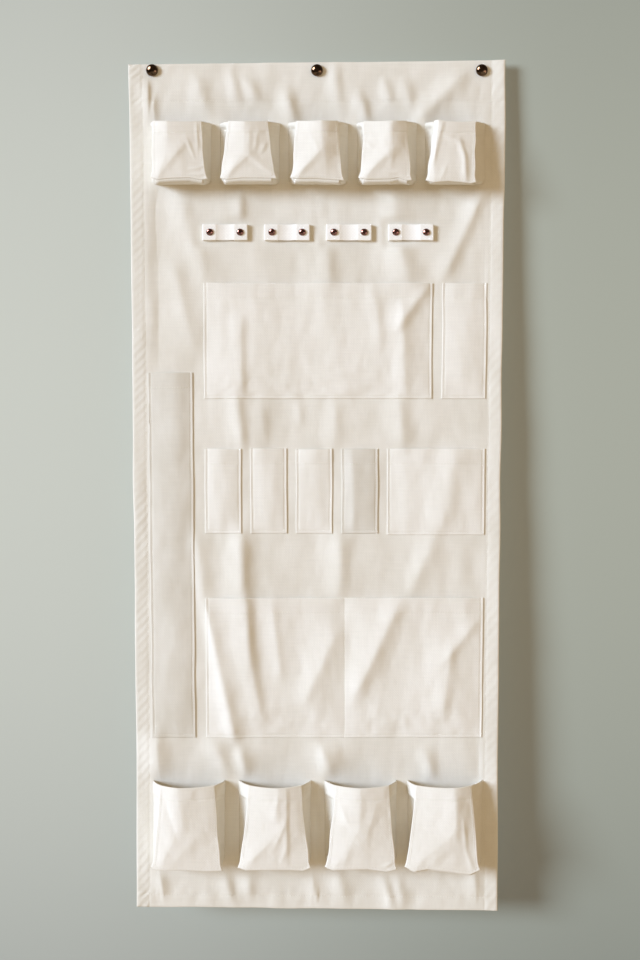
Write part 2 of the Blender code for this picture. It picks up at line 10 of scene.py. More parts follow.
import bmesh
import bpy
import numpy as np
from bpy.props import FloatProperty, FloatVectorProperty, IntProperty, PointerProperty
from bpy.types import Operator, Panel, PropertyGroup
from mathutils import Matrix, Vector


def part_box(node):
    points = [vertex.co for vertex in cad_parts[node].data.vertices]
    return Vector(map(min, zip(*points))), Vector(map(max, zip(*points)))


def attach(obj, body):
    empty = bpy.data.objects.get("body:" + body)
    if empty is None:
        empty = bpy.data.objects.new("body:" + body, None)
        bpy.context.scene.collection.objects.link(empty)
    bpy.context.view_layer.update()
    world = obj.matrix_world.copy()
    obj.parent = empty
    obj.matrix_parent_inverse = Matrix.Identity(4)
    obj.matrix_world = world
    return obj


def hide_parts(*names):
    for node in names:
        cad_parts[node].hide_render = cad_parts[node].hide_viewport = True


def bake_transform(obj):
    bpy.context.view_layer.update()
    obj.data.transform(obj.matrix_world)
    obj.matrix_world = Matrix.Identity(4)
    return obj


bl_info = {
    "name": "Hanging wall organizer",
    "version": (1, 0, 0),
    "blender": (4, 5, 0),
    "location": "View3D > Sidebar > Organizer",
    "description": "Builds a canvas wall organizer with its pockets, straps and metal fittings",
    "category": "Object",
}

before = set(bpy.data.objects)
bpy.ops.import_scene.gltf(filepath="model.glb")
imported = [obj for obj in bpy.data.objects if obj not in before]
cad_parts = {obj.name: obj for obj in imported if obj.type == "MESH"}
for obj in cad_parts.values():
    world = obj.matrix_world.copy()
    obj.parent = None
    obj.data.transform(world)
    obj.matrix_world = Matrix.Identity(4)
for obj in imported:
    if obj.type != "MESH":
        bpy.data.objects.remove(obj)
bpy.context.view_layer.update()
PANEL_LOW, PANEL_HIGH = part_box("back_panel")

MM = 0.001
MAIN_BODY = "organizer"

# The photograph's frame: what one pixel is at the panel, and where the centre nail lies in it
PIXEL = 0.00125
NAIL_PIXEL = (317.0, 70.5)
PHOTO_CENTRE = (320.0, 480.0)
PHOTO_HEIGHT = 960.0

# Soft folds of the panel, as the photograph shows them. Each row is the pixel where a fold starts,
# the pixel where it ends, the run of its left and right slope in pixels, and its height in mm.
PANEL_FOLDS = (
    (147, 64, 148, 110, 10, 3, 1.3),
    (196, 78, 208, 112, 14, 8, 1.8),
    (230, 70, 240, 102, 10, 5, 1.4),
    (244, 78, 258, 100, 8, 7, 1.6),
    (285, 92, 296, 124, 9, 8, 2.2),
    (334, 66, 339, 104, 10, 6, 1.2),
    (360, 96, 368, 124, 9, 7, 2.0),
    (384, 80, 391, 104, 8, 6, 1.4),
    (404, 82, 411, 106, 8, 6, 1.4),
    (463, 76, 416, 122, 12, 14, 2.3),
    (240, 190, 241, 224, 16, 5, 1.5),
    (392, 188, 397, 230, 16, 18, 2.2),
    (397, 230, 409, 286, 18, 16, 2.8),
    (482, 194, 444, 276, 12, 8, 2.0),
    (326, 244, 330, 284, 14, 10, 1.3),
    (200, 246, 207, 284, 12, 12, 1.2),
    (158, 186, 159, 372, 10, 15, -1.1),
    (180, 196, 196, 262, 11, 12, 1.2),
    (172, 262, 196, 350, 12, 12, 1.3),
    (241, 320, 242, 396, 16, 5, 1.2),
    (374, 290, 381, 345, 12, 10, 1.1),
    (401, 300, 405, 392, 12, 8, 1.4),
    (427, 286, 396, 330, 9, 7, 1.3),
    (237, 398, 243, 446, 12, 6, 1.8),
    (262, 402, 264, 440, 10, 6, 0.9),
    (299, 402, 301, 424, 8, 5, 0.8),
    (334, 400, 336, 445, 10, 10, 1.1),
    (398, 398, 403, 446, 14, 10, 2.0),
    (352, 455, 354, 532, 6, 7, 0.8),
    (457, 450, 441, 528, 14, 14, 1.6),
    (241, 534, 243, 596, 16, 10, 3.2),
    (196, 536, 204, 596, 8, 12, 1.5),
    (341, 536, 339, 596, 12, 12, 2.2),
    (434, 540, 410, 592, 12, 14, 1.6),
    (206, 604, 222, 680, 6, 10, 2.0),
    (222, 680, 236, 742, 10, 10, 2.6),
    (246, 600, 250, 660, 18, 8, 2.6),
    (250, 660, 262, 720, 16, 8, 1.8),
    (272, 604, 282, 680, 9, 7, 1.0),
    (338, 630, 305, 702, 14, 18, 1.8),
    (398, 604, 356, 694, 16, 12, 2.6),
    (452, 640, 442, 712, 16, 10, 1.6),
    (476, 622, 440, 665, 8, 6, 0.8),
    (212, 742, 230, 772, 12, 14, 2.8),
    (156, 736, 160, 774, 16, 14, 3.2),
    (240, 750, 246, 773, 8, 12, 3.4),
    (322, 748, 331, 772, 10, 18, 3.6),
    (424, 750, 432, 776, 10, 8, 2.2),
    (153, 98, 155, 125, 12, 6, 1.6),
    (160, 874, 164, 898, 8, 6, 1.6),
    (226, 876, 233, 904, 9, 5, 1.9),
    (248, 874, 250, 896, 8, 6, 1.4),
    (312, 876, 316, 902, 9, 6, 1.3),
    (338, 872, 344, 896, 9, 8, 1.5),
    (384, 880, 392, 905, 7, 5, 1.8),
    (398, 878, 402, 903, 7, 5, 1.4),
    (474, 872, 476, 896, 10, 6, 1.2),
)

# Creases of each bellows pocket's front: the shares across (-1 to 1) and up (0 to 1) where a crease
# starts and ends, the run of its left and right slope in mm, and its height in mm.
SMALL_CREASES = (
    (
        (0.30, 0.62, -0.72, 0.07, 9.0, 5.0, 1.3),
        (0.45, 0.16, 0.92, 0.20, 1.6, 1.6, 1.1),
        (0.45, 0.06, 0.95, 0.09, 1.6, 1.6, 0.9),
        (0.42, 0.66, 0.62, 0.36, 2.2, 1.8, 0.7),
        (0.80, 0.95, 0.78, 0.52, 2.0, 2.0, 0.8),
    ),
    (
        (0.05, 0.42, -0.80, 0.06, 9.0, 4.0, 1.5),
        (0.02, 0.42, 0.90, 0.08, 4.0, 7.0, 1.2),
        (0.10, 0.86, 0.05, 0.48, 5.0, 4.0, 0.8),
        (0.45, 0.76, 0.30, 0.50, 3.0, 3.0, 0.8),
        (0.80, 0.62, 0.55, 0.44, 3.0, 3.0, 0.7),
    ),
    (
        (0.20, 0.52, -0.80, 0.06, 9.0, 5.0, 1.4),
        (0.30, 0.60, 0.38, 0.10, 7.0, 7.0, 1.0),
        (-0.20, 0.72, 0.05, 0.48, 5.0, 4.0, 0.6),
    ),
    (
        (0.10, 0.45, -0.80, 0.06, 8.0, 5.0, 1.3),
        (0.22, 0.95, 0.12, 0.45, 8.0, 5.0, 1.1),
        (-0.95, 0.62, -0.60, 0.55, 3.0, 3.0, 0.8),
        (0.35, 0.50, 0.20, 0.18, 5.0, 4.0, 0.7),
        (-0.10, 0.13, 0.80, 0.07, 2.0, 2.0, 0.7),
    ),
    (
        (-0.62, 0.98, -0.93, 0.10, 3.4, 3.0, 1.2),
        (-0.40, 0.72, 0.28, 0.64, 4.0, 3.4, 1.3),
        (0.26, 0.66, 0.52, 0.36, 4.2, 3.2, 1.7),
        (0.50, 0.40, 0.60, 0.02, 4.2, 3.2, 1.8),
        (-0.25, 0.24, -0.42, 0.06, 3.0, 3.0, 0.6),
    ),
)
LARGE_CREASES = (
    (
        (-0.86, 0.88, -0.30, 0.40, 5.0, 5.0, -0.9),
        (-0.25, 0.80, -0.10, 0.48, 6.0, 6.0, 0.8),
        (0.50, 0.48, -0.45, 0.08, 8.0, 6.0, 0.7),
    ),
    (
        (0.42, 0.94, 0.36, 0.14, 6.0, 3.0, 1.2),
        (0.34, 0.58, 0.02, 0.30, 5.0, 3.4, 1.2),
        (0.10, 0.86, -0.02, 0.62, 6.0, 5.0, 0.8),
        (-0.20, 0.34, -0.85, 0.06, 8.0, 6.0, 1.0),
        (0.36, 0.30, 0.22, 0.10, 3.0, 3.0, 0.7),
    ),
    (
        (-0.72, 0.74, -0.42, 0.56, 5.0, 4.0, 1.0),
        (-0.05, 0.90, -0.08, 0.50, 9.0, 6.0, 1.0),
        (0.50, 0.80, 0.10, 0.36, 6.0, 6.0, 0.8),
        (0.66, 0.07, 0.90, 0.09, 1.8, 1.8, 1.0),
        (-0.35, 0.28, -0.52, 0.06, 4.0, 4.0, 0.7),
    ),
    (
        (0.40, 0.86, 0.36, 0.36, 12.0, 7.0, 1.6),
        (0.62, 0.60, 0.66, 0.26, 3.0, 3.0, 1.0),
        (0.10, 0.26, -0.30, 0.10, 7.0, 6.0, 0.7),
        (0.70, 0.22, 0.84, 0.04, 3.0, 3.0, 1.0),
    ),
)

# Fine spacing of grid lines, as shares of a rim's reach and as distances from a line of stitches
RIM_SHARES = np.array([0.0, 0.08, 0.3, 0.62, 1.0])
SEAM_SPREAD = np.array([-2.4, -1.3, -0.6, 0.0, 0.6, 1.3, 2.4]) * MM

# A fold's ends fade over a length that stays between two shares of the fold; the power gives its crest
FADE_LENGTH = 17.0 * MM
FADE_SHARES = (0.18, 0.42)
CREST_POWER = 1.6

# Squares along a side of the noise's table
LATTICE = 64

# A mouth's fold turns about a radius of this share of one layer
FOLD_ROUND = 0.53

# How far below a mouth the even lines of its grid end, and its side seams' stitches
BELOW_FOLD = 1.5 * MM

# Run over which pressed layers thin to one beside a seam
SEAM_STEP = 1.2 * MM


# Colours and properties


def linear(code):
    """A hex colour as the linear red, green and blue that the shaders take."""
    channels = [int(code[i : i + 2], 16) / 255.0 for i in (1, 3, 5)]
    return tuple(c / 12.92 if c <= 0.04045 else ((c + 0.055) / 1.055) ** 2.4 for c in channels)


def colour(name, code, description):
    """A colour that a user may change, from its hex code."""
    return FloatVectorProperty(
        name=name, description=description, default=linear(code), size=3, subtype="COLOR", min=0.0, max=1.0
    )


def length(name, value, description):
    """A length that a user may change, from millimetres."""
    return FloatProperty(name=name, description=description, default=value * MM, unit="LENGTH", precision=4)


def degrees(name, value, description):
    """An angle that a user may change, from degrees."""
    return FloatProperty(name=name, description=description, default=math.radians(value), subtype="ANGLE")


def amount(name, value, description):
    """A plain number that a user may change."""
    return FloatProperty(name=name, description=description, default=value, min=0.0)


class OrganizerCloth(PropertyGroup):
    """The canvas and how it hangs."""

    canvas: length("Canvas", 0.9, "Thickness of one layer of canvas")
    hem_layers: IntProperty(name="Hem layers", description="Layers in the panel's hems", default=3, min=1)
    side_hem: length("Side hem", 18.5, "Width of the panel's side hems")
    top_hem: length("Top hem", 51.0, "Depth of the panel's top hem")
    foot_hem: length("Foot hem", 18.0, "Depth of the panel's foot hem")
    hem_step: length("Hem step", 1.8, "Run over which a hem thins to one layer")
    seam_gap: length("Seam gap", 0.15, "Gap between sewn layers")
    draw_in: length("Draw-in", 10.5, "How far each side hem draws in towards the foot")
    draw_in_length: length("Draw-in length", 872.0, "Fall over which the sides draw in")
    ripple_height: length("Ripple height", 1.6, "Height of the broad vertical ripples")
    ripple_length: length("Ripple length", 121.0, "Distance from ripple to ripple")
    ripple_drift: length("Ripple drift", 1900.0, "Fall over which the ripples shift by one")
    fold_strength: amount("Folds", 2.1, "Height of the soft folds")
    wrinkle: length("Wrinkles", 0.42, "Height of the small wrinkles between the folds")
    roping: length("Roping", 0.85, "Height of the slanted ridges along a stitched hem")
    roping_pitch: length("Roping pitch", 11.5, "Distance from ridge to ridge along a hem")
    grid_step: length("Grid step", 3.6, "Spacing of the panel's grid")
    thread_pitch: length("Thread pitch", 1.5, "Spacing of the canvas threads as drawn")
    canvas_colour: colour("Canvas", "#E9E4D8", "Unbleached cotton canvas")
    # Painted light: the pockets' canvas is a paler copy of the panel's, standing in for the extra light the
    # pockets catch.
    painted_light_pocket_colour: colour("Pocket canvas", "#ECE7DC", "The pockets' canvas, a little paler")
    canvas_shade: colour("Canvas shade", "#E0DACC", "Duller patches of the canvas")
    # Painted shade: a darker copy of the canvas, and its patches, for the pockets that lie in more shade.
    painted_shade_pocket_colour: colour("Duller pocket canvas", "#E2DDD1", "Canvas from a duller bolt")
    painted_shade_pocket_patches: colour("Duller canvas shade", "#D9D3C5", "Duller patches of that bolt")
    thread_colour: colour("Thread", "#EFEADE", "Sewing thread")


class OrganizerPockets(PropertyGroup):
    """The flat pockets."""

    hem: length("Pocket hem", 20.0, "Depth of the hem at a pocket's mouth")
    turn_in: length("Turn-in", 5.0, "Cloth turned in at a pocket's sides and foot")
    inset: length("Stitch inset", 3.4, "From a pocket's edge to its line of stitches")
    puff: length("Puff", 1.7, "How far the middle of a pocket stands off")
    puff_run: length("Puff run", 26.0, "Run over which a pocket rises from its edges")
    mouth_gap: length("Mouth gap", 1.0, "How far the mouth's edge gapes between folds")
    crinkle: length("Foot crinkle", 0.5, "Height of the crinkles near a broad pocket's foot")
    grid_step: length("Grid step", 2.6, "Spacing of the pockets' grids")


class OrganizerBellows(PropertyGroup):
    """The bellows pockets."""

    small_mouth_depth: length("Small mouth depth", 20.0, "Mouth of a small pocket, wall to front")
    large_mouth_depth: length("Large mouth depth", 22.0, "Mouth of a large pocket, wall to front")
    small_depth: length("Small depth", 34.0, "Foot of a small pocket, wall to front")
    large_depth: length("Large depth", 36.0, "Foot of a large pocket, wall to front")
    small_crown: length("Small crown", 7.5, "Swell of a small pocket's mouth")
    large_crown: length("Large crown", 8.5, "Swell of a large pocket's mouth")
    foot_crown: length("Foot crown", 1.5, "Swell at the foot")
    small_droop: length("Small droop", 4.5, "How far a small mouth sags between its corners")
    large_droop: length("Large droop", 3.5, "How far a large mouth sags between its corners")
    hem: length("Mouth hem", 17.0, "Depth of the hem round the mouth")
    welt: length("Welt", 2.0, "Width of the seam that stands up along the front's edges")
    welt_height: length("Welt height", 0.22, "Height of that seam")
    ear: length("Ear", 2.0, "How far the lower corners stick out")
    ear_rise: length("Ear rise", 9.0, "How far up the ears reach")
    corner: length("Gusset corner", 6.0, "Radius of the gusset's lower corners")
    setback: length("Setback", 0.8, "Gusset edge to the edge of the front")
    left_sag: length("Left sag", 6.5, "How far a gusset's left side draws in behind the front")
    right_sag: length("Right sag", 2.4, "How far a gusset's right side draws in")
    small_flap: length("Small flap", 3.0, "Height of the stiff top of a small gusset")
    large_flap: length("Large flap", 16.0, "Height of the stiff top of a large gusset")
    belly: length("Belly", 4.8, "How far a gusset's base rolls down behind the foot of the front")
    nose: length("Nose", 2.3, "How far the belly comes forwards below the foot of the front")
    curl: length("Mouth curl", 2.2, "How far the gusset's hemmed top turns outwards")
    crinkle: length("Crinkle", 0.35, "Height of the small crinkles")
    grid_step: length("Grid step", 1.3, "Spacing of the bellows pockets' grids")


class OrganizerFittings(PropertyGroup):
    """The straps, their rivets, and the hanging points."""

    webbing: length("Webbing", 1.05, "Thickness of the strap webbing")
    strap_press: amount("Strap press", 0.72, "Share of its height left after riveting")
    strap_fold: length("Strap fold", 16.5, "Length of the folded ends of a strap")
    strap_layers: IntProperty(name="Strap layers", description="Layers in a strap's ends", default=4, min=1)
    rivet_tilt: degrees("Rivet tilt", 7.0, "Greatest tilt of a set rivet")
    nail_tilt: degrees("Nail tilt", 3.0, "Greatest tilt of a nail's head")
    sides: IntProperty(name="Sides", description="Sides of the turned metal pieces", default=56, min=8)
    webbing_colour: colour("Webbing", "#FAF7F0", "Bleached cotton webbing")
    webbing_shade: colour("Webbing shade", "#F3EFE5", "Duller patches of the webbing")
    # The copper is drawn darker than bare copper: partly tarnish, partly painted shade that stands in for
    # the dark room its caps mirror.
    copper_colour: colour("Copper", "#93685A", "Copper darkened by handling")
    brass_colour: colour("Antique brass", "#6A523C", "Darkened brass")
    eyelet_colour: colour("Eyelet brass", "#B59A62", "Plain brass")


class OrganizerStage(PropertyGroup):
    """Backdrop, floor, lamps and camera."""

    wall_gap: length("Wall gap", 11.0, "From the back of the panel to the backdrop, at the nails")
    wall_lean: degrees("Wall lean", 2.1, "How far the panel hangs out")
    floor_drop: length("Floor drop", 420.0, "From the foot of the panel down to the floor")
    reach: length("Reach", 6000.0, "Width of the backdrop and the floor")
    focal_length: amount("Focal length", 50.0, "Lens, in mm")
    sensor: amount("Sensor", 36.0, "Long side of the sensor, in mm")
    key_strength: amount("Key", 4.25, "Strength of the lamp at the left")
    key_size: degrees("Key size", 21.0, "How wide the lamp looks")
    key_grazing: degrees("Key grazing", 33.0, "Lamp above the panel's plane")
    key_rise: degrees("Key rise", 10.0, "Lamp above the horizon")
    fill_strength: amount("Fill", 0.53, "Strength of the light all round")
    rear_strength: amount("Rear", 1.6, "Strength of the lamp behind")
    rear_size: degrees("Rear size", 40.0, "How wide the lamp behind looks")
    rear_way: degrees("Rear way", 200.0, "Where the lamp behind stands, round from the front")
    rear_rise: degrees("Rear rise", 25.0, "Lamp behind above the horizon")
    key_colour: colour("Key colour", "#D1E4FF", "Daylight from a window")
    fill_colour: colour("Fill colour", "#FFE4BD", "Light returned by a warm room")
    rear_colour: colour("Rear colour", "#BFDFFF", "Daylight from the far side of the room")
    # The backdrop's two tints are one paint: the far one is darker as painted shade, the lamp's falloff
    # painted in.
    wall_colour: colour("Wall", "#CCCEC0", "Pale grey-green paint, nearer the lamp")
    wall_painted_falloff_colour: colour("Wall far side", "#AAAB98", "The same paint, farther from the lamp")
    floor_colour: colour("Floor", "#DCE0E4", "Pale floor")


# Small tools for arrays


def smooth(share):
    """0 below 0, 1 above 1, and an eased rise between them."""
    share = np.clip(share, 0.0, 1.0)
    return share * share * (3.0 - 2.0 * share)


def near(distance, run):
    """1 at an edge, easing to 0 over the run."""
    return smooth(1.0 - distance / run)


def rise(distance, run):
    """0 at a sewn edge, 1 once the cloth has risen from it over the run, as a quarter sine."""
    return np.sin(0.5 * np.pi * np.clip(distance / run, 0.0, 1.0))


def arch(share):
    """0 at both ends of a stretch and beyond them, 1 in its middle, as a half sine."""
    return np.sin(np.pi * np.clip(share, 0.0, 1.0))


def bell(distance, width):
    """1 at a line, falling away on both sides as a Gaussian bell."""
    return np.exp(-((distance / width) ** 2))


def rounded(distance, reach):
    """0 at a rim and 1 from the reach inwards, as a quarter circle."""
    inward = 1.0 - np.clip(distance / reach, 0.0, 1.0)
    return np.sqrt(np.clip(1.0 - inward * inward, 0.0, 1.0))


def noise(x, y, seed):
    """Smooth random heights from -1 to 1 over a lattice of unit squares, eased between corners."""
    table = np.random.default_rng(seed).uniform(-1.0, 1.0, (LATTICE, LATTICE))
    i = np.floor(x).astype(int)
    j = np.floor(y).astype(int)
    a = smooth(x - i)
    b = smooth(y - j)
    left = i % LATTICE
    right = (i + 1) % LATTICE
    rows = (j % LATTICE, (j + 1) % LATTICE)
    low, high = (table[left, row] * (1.0 - a) + table[right, row] * a for row in rows)
    return low * (1.0 - b) + high * b


def wavy(place, pitch, seed, row=0.0):
    """Noise along a line, with `pitch` mm from bump to bump. Each row gives another line."""
    return noise(place / (pitch * MM), 0.0 * place + row, seed)


def layered(x, y, wide, tall, seed):
    """Three layers of noise, each twice as fine and half as high as the one before, the first with
    bumps `wide` and `tall` mm apart."""
    x = x / (wide * MM)
    y = y / (tall * MM)
    total = noise(x, y, seed)
    total = total + 0.5 * noise(2.0 * x + 7.3, 2.0 * y + 1.9, seed + 1)
    return total + 0.25 * noise(4.0 * x + 3.1, 4.0 * y + 5.7, seed + 2)


def ridge(x, z, start, end, left, right, height):
    """A soft fold from start to end: a bell with a rather sharp crest, its own run on each side, and
    both ends fading."""
    run_x = end[0] - start[0]
    run_z = end[1] - start[1]
    reach = math.hypot(run_x, run_z)
    along = ((x - start[0]) * run_x + (z - start[1]) * run_z) / (reach * reach)
    side = ((z - start[1]) * run_x - (x - start[0]) * run_z) / reach
    across = np.where(side < 0.0, side / left, side / right)
    fade = 2.0 * np.clip(FADE_LENGTH / reach, *FADE_SHARES)
    ends = smooth(0.5 + along / fade) * smooth(0.5 + (1.0 - along) / fade)
    return height * np.exp(-(np.abs(across) ** CREST_POWER)) * ends


def apart(values, others, gap):
    """Those of the values that are farther than the gap from all the others."""
    return values[np.abs(values[:, None] - others[None, :]).min(axis=1) > gap]


def marks(start, end, step, seams=(), rim=1.4 * MM):
    """Grid values from start to end: even steps, with finer ones at both rims and beside each seam."""
    special = [start + rim * RIM_SHARES, end - rim * RIM_SHARES]
    special = np.concatenate(special + [seam + SEAM_SPREAD for seam in seams])
    special = special[(special >= start - 1e-9) & (special <= end + 1e-9)]
    even = np.linspace(start, end, max(3, round((end - start) / step)) + 1)
    return np.unique(np.concatenate([special, apart(even, special, 0.4 * step)]).round(6))


def from_photo(x, y):
    """The place on the panel of a pixel of the photograph."""
    return (x - NAIL_PIXEL[0]) * PIXEL, (NAIL_PIXEL[1] - y) * PIXEL


# Meshes


def add_object(name, data):
    """An object of that mesh, lamp or camera, in the scene."""
    item = bpy.data.objects.new(name, data)
    bpy.context.scene.collection.objects.link(item)
    return item


def new_object(name, points, faces, material, flat=None):
    """An object from arrays of points and lists of faces, with the flat places that the weave follows."""
    mesh = bpy.data.meshes.new(name)
    mesh.from_pydata(points.tolist(), [], faces)
    mesh.polygons.foreach_set("use_smooth", np.full(len(faces), True))
    mesh.materials.append(material)
    if flat is not None:
        used = np.zeros(len(mesh.loops), np.int32)
        mesh.loops.foreach_get("vertex_index", used)
        layer = mesh.uv_layers.new(name="Flat")
        layer.data.foreach_set("uv", flat[used].astype(np.float32).ravel())
    mesh.update()
    return add_object(name, mesh)


def quads(index):
    """The four-sided faces of a grid of vertex numbers, in the order across then up."""
    corners = (index[:-1, :-1], index[:-1, 1:], index[1:, 1:], index[1:, :-1])
    return np.stack(corners, axis=-1).reshape(-1, 4)


def looped(rings, sides):
    """Vertex numbers of a tube's rings, with the first of each ring again at its end."""
    index = np.arange(rings * sides).reshape(rings, sides)
    return np.concatenate([index, index[:, :1]], axis=1)


def unit(vectors):
    """The vectors, each divided by its length."""
    return vectors / np.maximum(np.linalg.norm(vectors, axis=-1, keepdims=True), 1e-12)


def run_along(points):
    """The length of a path up to each of its points."""
    return np.concatenate([[0.0], np.cumsum(np.linalg.norm(np.diff(points, axis=0), axis=1))])


def cloth_shell(name, middle, half, flat, material):
    """A closed sheet of cloth. `middle` is a grid of points halfway through it, `half` half its
    thickness, which is nothing at the rim, so the faces meet there, and `flat` the place on the cut."""
    normal = unit(np.cross(np.gradient(middle, axis=1), np.gradient(middle, axis=0)))
    offset = normal * half[..., None]
    offset[[0, -1]] = 0.0
    offset[:, [0, -1]] = 0.0
    back = (middle - offset)[1:-1, 1:-1]
    front_index = np.arange(half.size).reshape(half.shape)
    back_index = front_index.copy()
    back_index[1:-1, 1:-1] = half.size + np.arange(back.size // 3).reshape(back.shape[:2])
    points = np.concatenate([(middle + offset).reshape(-1, 3), back.reshape(-1, 3)])
    faces = np.concatenate([quads(front_index), quads(back_index)[:, ::-1]])
    place = np.concatenate([flat.reshape(-1, 2), flat[1:-1, 1:-1].reshape(-1, 2)])
    return new_object(name, points, faces.tolist(), material, place)


def rim_half(u, v, thickness):
    """Half the cloth's thickness on the grid u x v, rounded off at its four rims."""
    rim = np.minimum.reduce([u - u.min(), u.max() - u, v - v.min(), v.max() - v])
    return 0.5 * thickness * rounded(rim, 0.75 * np.maximum(thickness, 0.4 * MM))


def make_sheet(name, u, v, middle, thickness, seed, material):
    """Builds one sheet from functions of the flat cut: `middle(u, v)` and `thickness(u, v)`."""
    grid_u, grid_v = np.meshgrid(u, v)
    half = rim_half(grid_u, grid_v, thickness(grid_u, grid_v))
    shift = np.random.default_rng(seed).uniform(0.0, 3.0, 2)
    flat = np.stack([grid_u + shift[0], grid_v + shift[1]], axis=-1)
    return cloth_shell(name, middle(grid_u, grid_v), half, flat, material)


def folded_over(middle, top, layer):
    """The sheet's middle surface once its hem is folded over the mouth and down inside: straight up,
    a half turn one layer wide, and straight down again towards the wall's side."""
    radius = FOLD_ROUND * layer
    turn = 0.5 * math.pi * radius

    def folded(u, v):
        """The place of (u, v) once folded: its height follows the sine of the turn, its depth the cosine."""
        angle = np.pi * np.clip((v - top + turn) / (2.0 * turn), 0.0, 1.0)
        beyond = np.maximum(v - top - turn, 0.0)
        points = middle(u, np.minimum(v, top - turn) + radius * np.sin(angle) - beyond)
        points[..., 1] += radius * (1.0 - np.cos(angle))
        return points

    return folded


def hem_marks(v, top, hem, layer):
    """Grid values up to a mouth, round its fold and down the hem inside it."""
    turn = 0.5 * math.pi * FOLD_ROUND * layer
    arc = top + turn * np.linspace(-1.0, 1.0, 7)
    inside = np.linspace(top + turn, top + hem, 7)[1:-1]
    rim = top + hem - 0.75 * layer * RIM_SHARES
    folded = np.unique(np.concatenate([arc, inside, rim]).round(6))
    return np.concatenate([v[v < top - BELOW_FOLD], folded])


def surface_at(middle, thickness, u, v, side=1.0):
    """Points on the front (side 1) or back (side -1) of a sheet, and the way out of the cloth there."""
    step = 0.4 * MM
    along = middle(u + step, v) - middle(u - step, v)
    upward = middle(u, v + step) - middle(u, v - step)
    out = unit(np.cross(along, upward)) * side
    return middle(u, v) + out * 0.5 * thickness(u, v)[..., None], out


# Stitches

STITCH_PITCH = 3.4 * MM
STITCH_LENGTH = 2.5 * MM
THREAD_RADIUS = 0.3 * MM
STITCH_RINGS = np.array([-1.0, -0.72, 0.0, 0.72, 1.0])
STITCH_SIDES = 6

# How far ahead the way of a stitch is taken
AHEAD = 0.5 * MM


def stitch_runs(middle, thickness, lines, side=1.0):
    """Centres, directions and outward normals of the stitches along straight lines of the cut."""
    runs = []
    for (u0, v0), (u1, v1) in lines:
        reach = math.hypot(u1 - u0, v1 - v0)
        count = max(2, round(reach / STITCH_PITCH))
        share = (np.arange(count) + 0.5) / count
        u = u0 + (u1 - u0) * share
        v = v0 + (v1 - v0) * share
        centre, out = surface_at(middle, thickness, u, v, side)
        step = AHEAD / reach
        ahead, _ = surface_at(middle, thickness, u + (u1 - u0) * step, v + (v1 - v0) * step, side)
        runs.append((centre, unit(ahead - centre), out))
    return runs


def make_stitches(name, runs):
    """Every stitch is a small arch of thread: a tube whose middle stands out and whose ends dive in."""
    centre, along, out = (np.concatenate(parts) for parts in zip(*runs))
    angle = np.arange(STITCH_SIDES) / STITCH_SIDES * math.tau
    ring = STITCH_RINGS[:, None]
    girth = THREAD_RADIUS * np.sqrt(1.0 - 0.8 * ring**4)
    upward = THREAD_RADIUS * (0.35 - 1.1 * ring**4) + girth * np.sin(angle)
    forward = 0.5 * STITCH_LENGTH * ring + 0.0 * angle
    shape = np.stack([forward, girth * np.cos(angle), upward], axis=-1).reshape(-1, 3)
    ways = np.stack([along, unit(np.cross(out, along)), out], axis=1)
    points = centre[:, None, :] + shape[None] @ ways
    index = looped(len(STITCH_RINGS), STITCH_SIDES)
    ends = np.array([index[0, :-1], index[-1, -2::-1]])
    caps = ends[:, [[0, 1, 2, 3], [0, 3, 4, 5]]].reshape(-1, 4)
    one = np.concatenate([quads(index)[:, ::-1], caps])
    faces = one[None] + (np.arange(len(centre)) * len(shape))[:, None, None]
    thread = material_named("sewing_thread")
    item = new_object(name, points.reshape(-1, 3), faces.reshape(-1, 4).tolist(), thread)
    return item


# How the cloth hangs

# What holds the panel to its plain shape, by a piece of its node's name, with the run in mm over which
# folds return beside it and the length of its top, in mm, that leaves them free
HOLDERS = (("hanging_nail_", 14.0, 0.0), ("tool_strap_", 12.0, 0.0), ("_pocket_gusset_", 9.0, 14.0))

# Share of their listed run that the folds' slopes take: heavy canvas folds crisply
FOLD_WIDTH = 0.85

# How far the single layer inside the hems can sink back towards the wall, and how softly it stops
SINK = 1.5 * MM
SOFT_STOP = 0.25 * MM


def hang_share(z, cloth):
    """Width at height z as a share of the width at the top edge: the hems draw the cloth in."""
    fall = np.clip((PANEL_HIGH.z - z) / cloth.draw_in_length, 0.0, 1.0)
    return 1.0 - fall * cloth.draw_in / PANEL_HIGH.x


def broad_ripple(x, z, cloth):
    """Lift of the broad vertical ripples, as the frame's own panel has them: none at the hems."""
    inner = (PANEL_HIGH.x - cloth.side_hem - cloth.hem_step) * hang_share(z, cloth)
    high = PANEL_HIGH.z - cloth.top_hem - cloth.hem_step
    low = PANEL_LOW.z + cloth.foot_hem + cloth.hem_step
    share = np.clip((z - low) / (high - low), 0.0, 1.0)
    across = np.clip(1.0 - (x / inner) ** 4, 0.0, 1.0)
    wave = 0.5 + 0.5 * np.cos(math.tau * (x / cloth.ripple_length + z / cloth.ripple_drift))
    return cloth.ripple_height * across * 4.0 * share * (1.0 - share) * wave


def held_places():
    """Left, right, foot and top of what holds the panel, each with the run over which folds return."""
    places = []
    for part, run, free in HOLDERS:
        for name in sorted(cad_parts):
            if part in name:
                low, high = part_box(name)
                places.append((low.x, high.x, low.z, high.z - free * MM, run * MM))
    return places


HELD_PLACES = held_places()


def calm(x, z):
    """1 where the folds are free, 0 where metal or a bellows pocket holds the panel to its plain shape."""
    free = np.ones_like(x)
    for left, right, foot, top, run in HELD_PLACES:
        away_x = np.maximum(np.maximum(left - x, x - right), 0.0)
        away_z = np.maximum(np.maximum(foot - z, z - top), 0.0)
        free = free * smooth((np.hypot(away_x, away_z) - 1.0 * MM) / run)
    return free


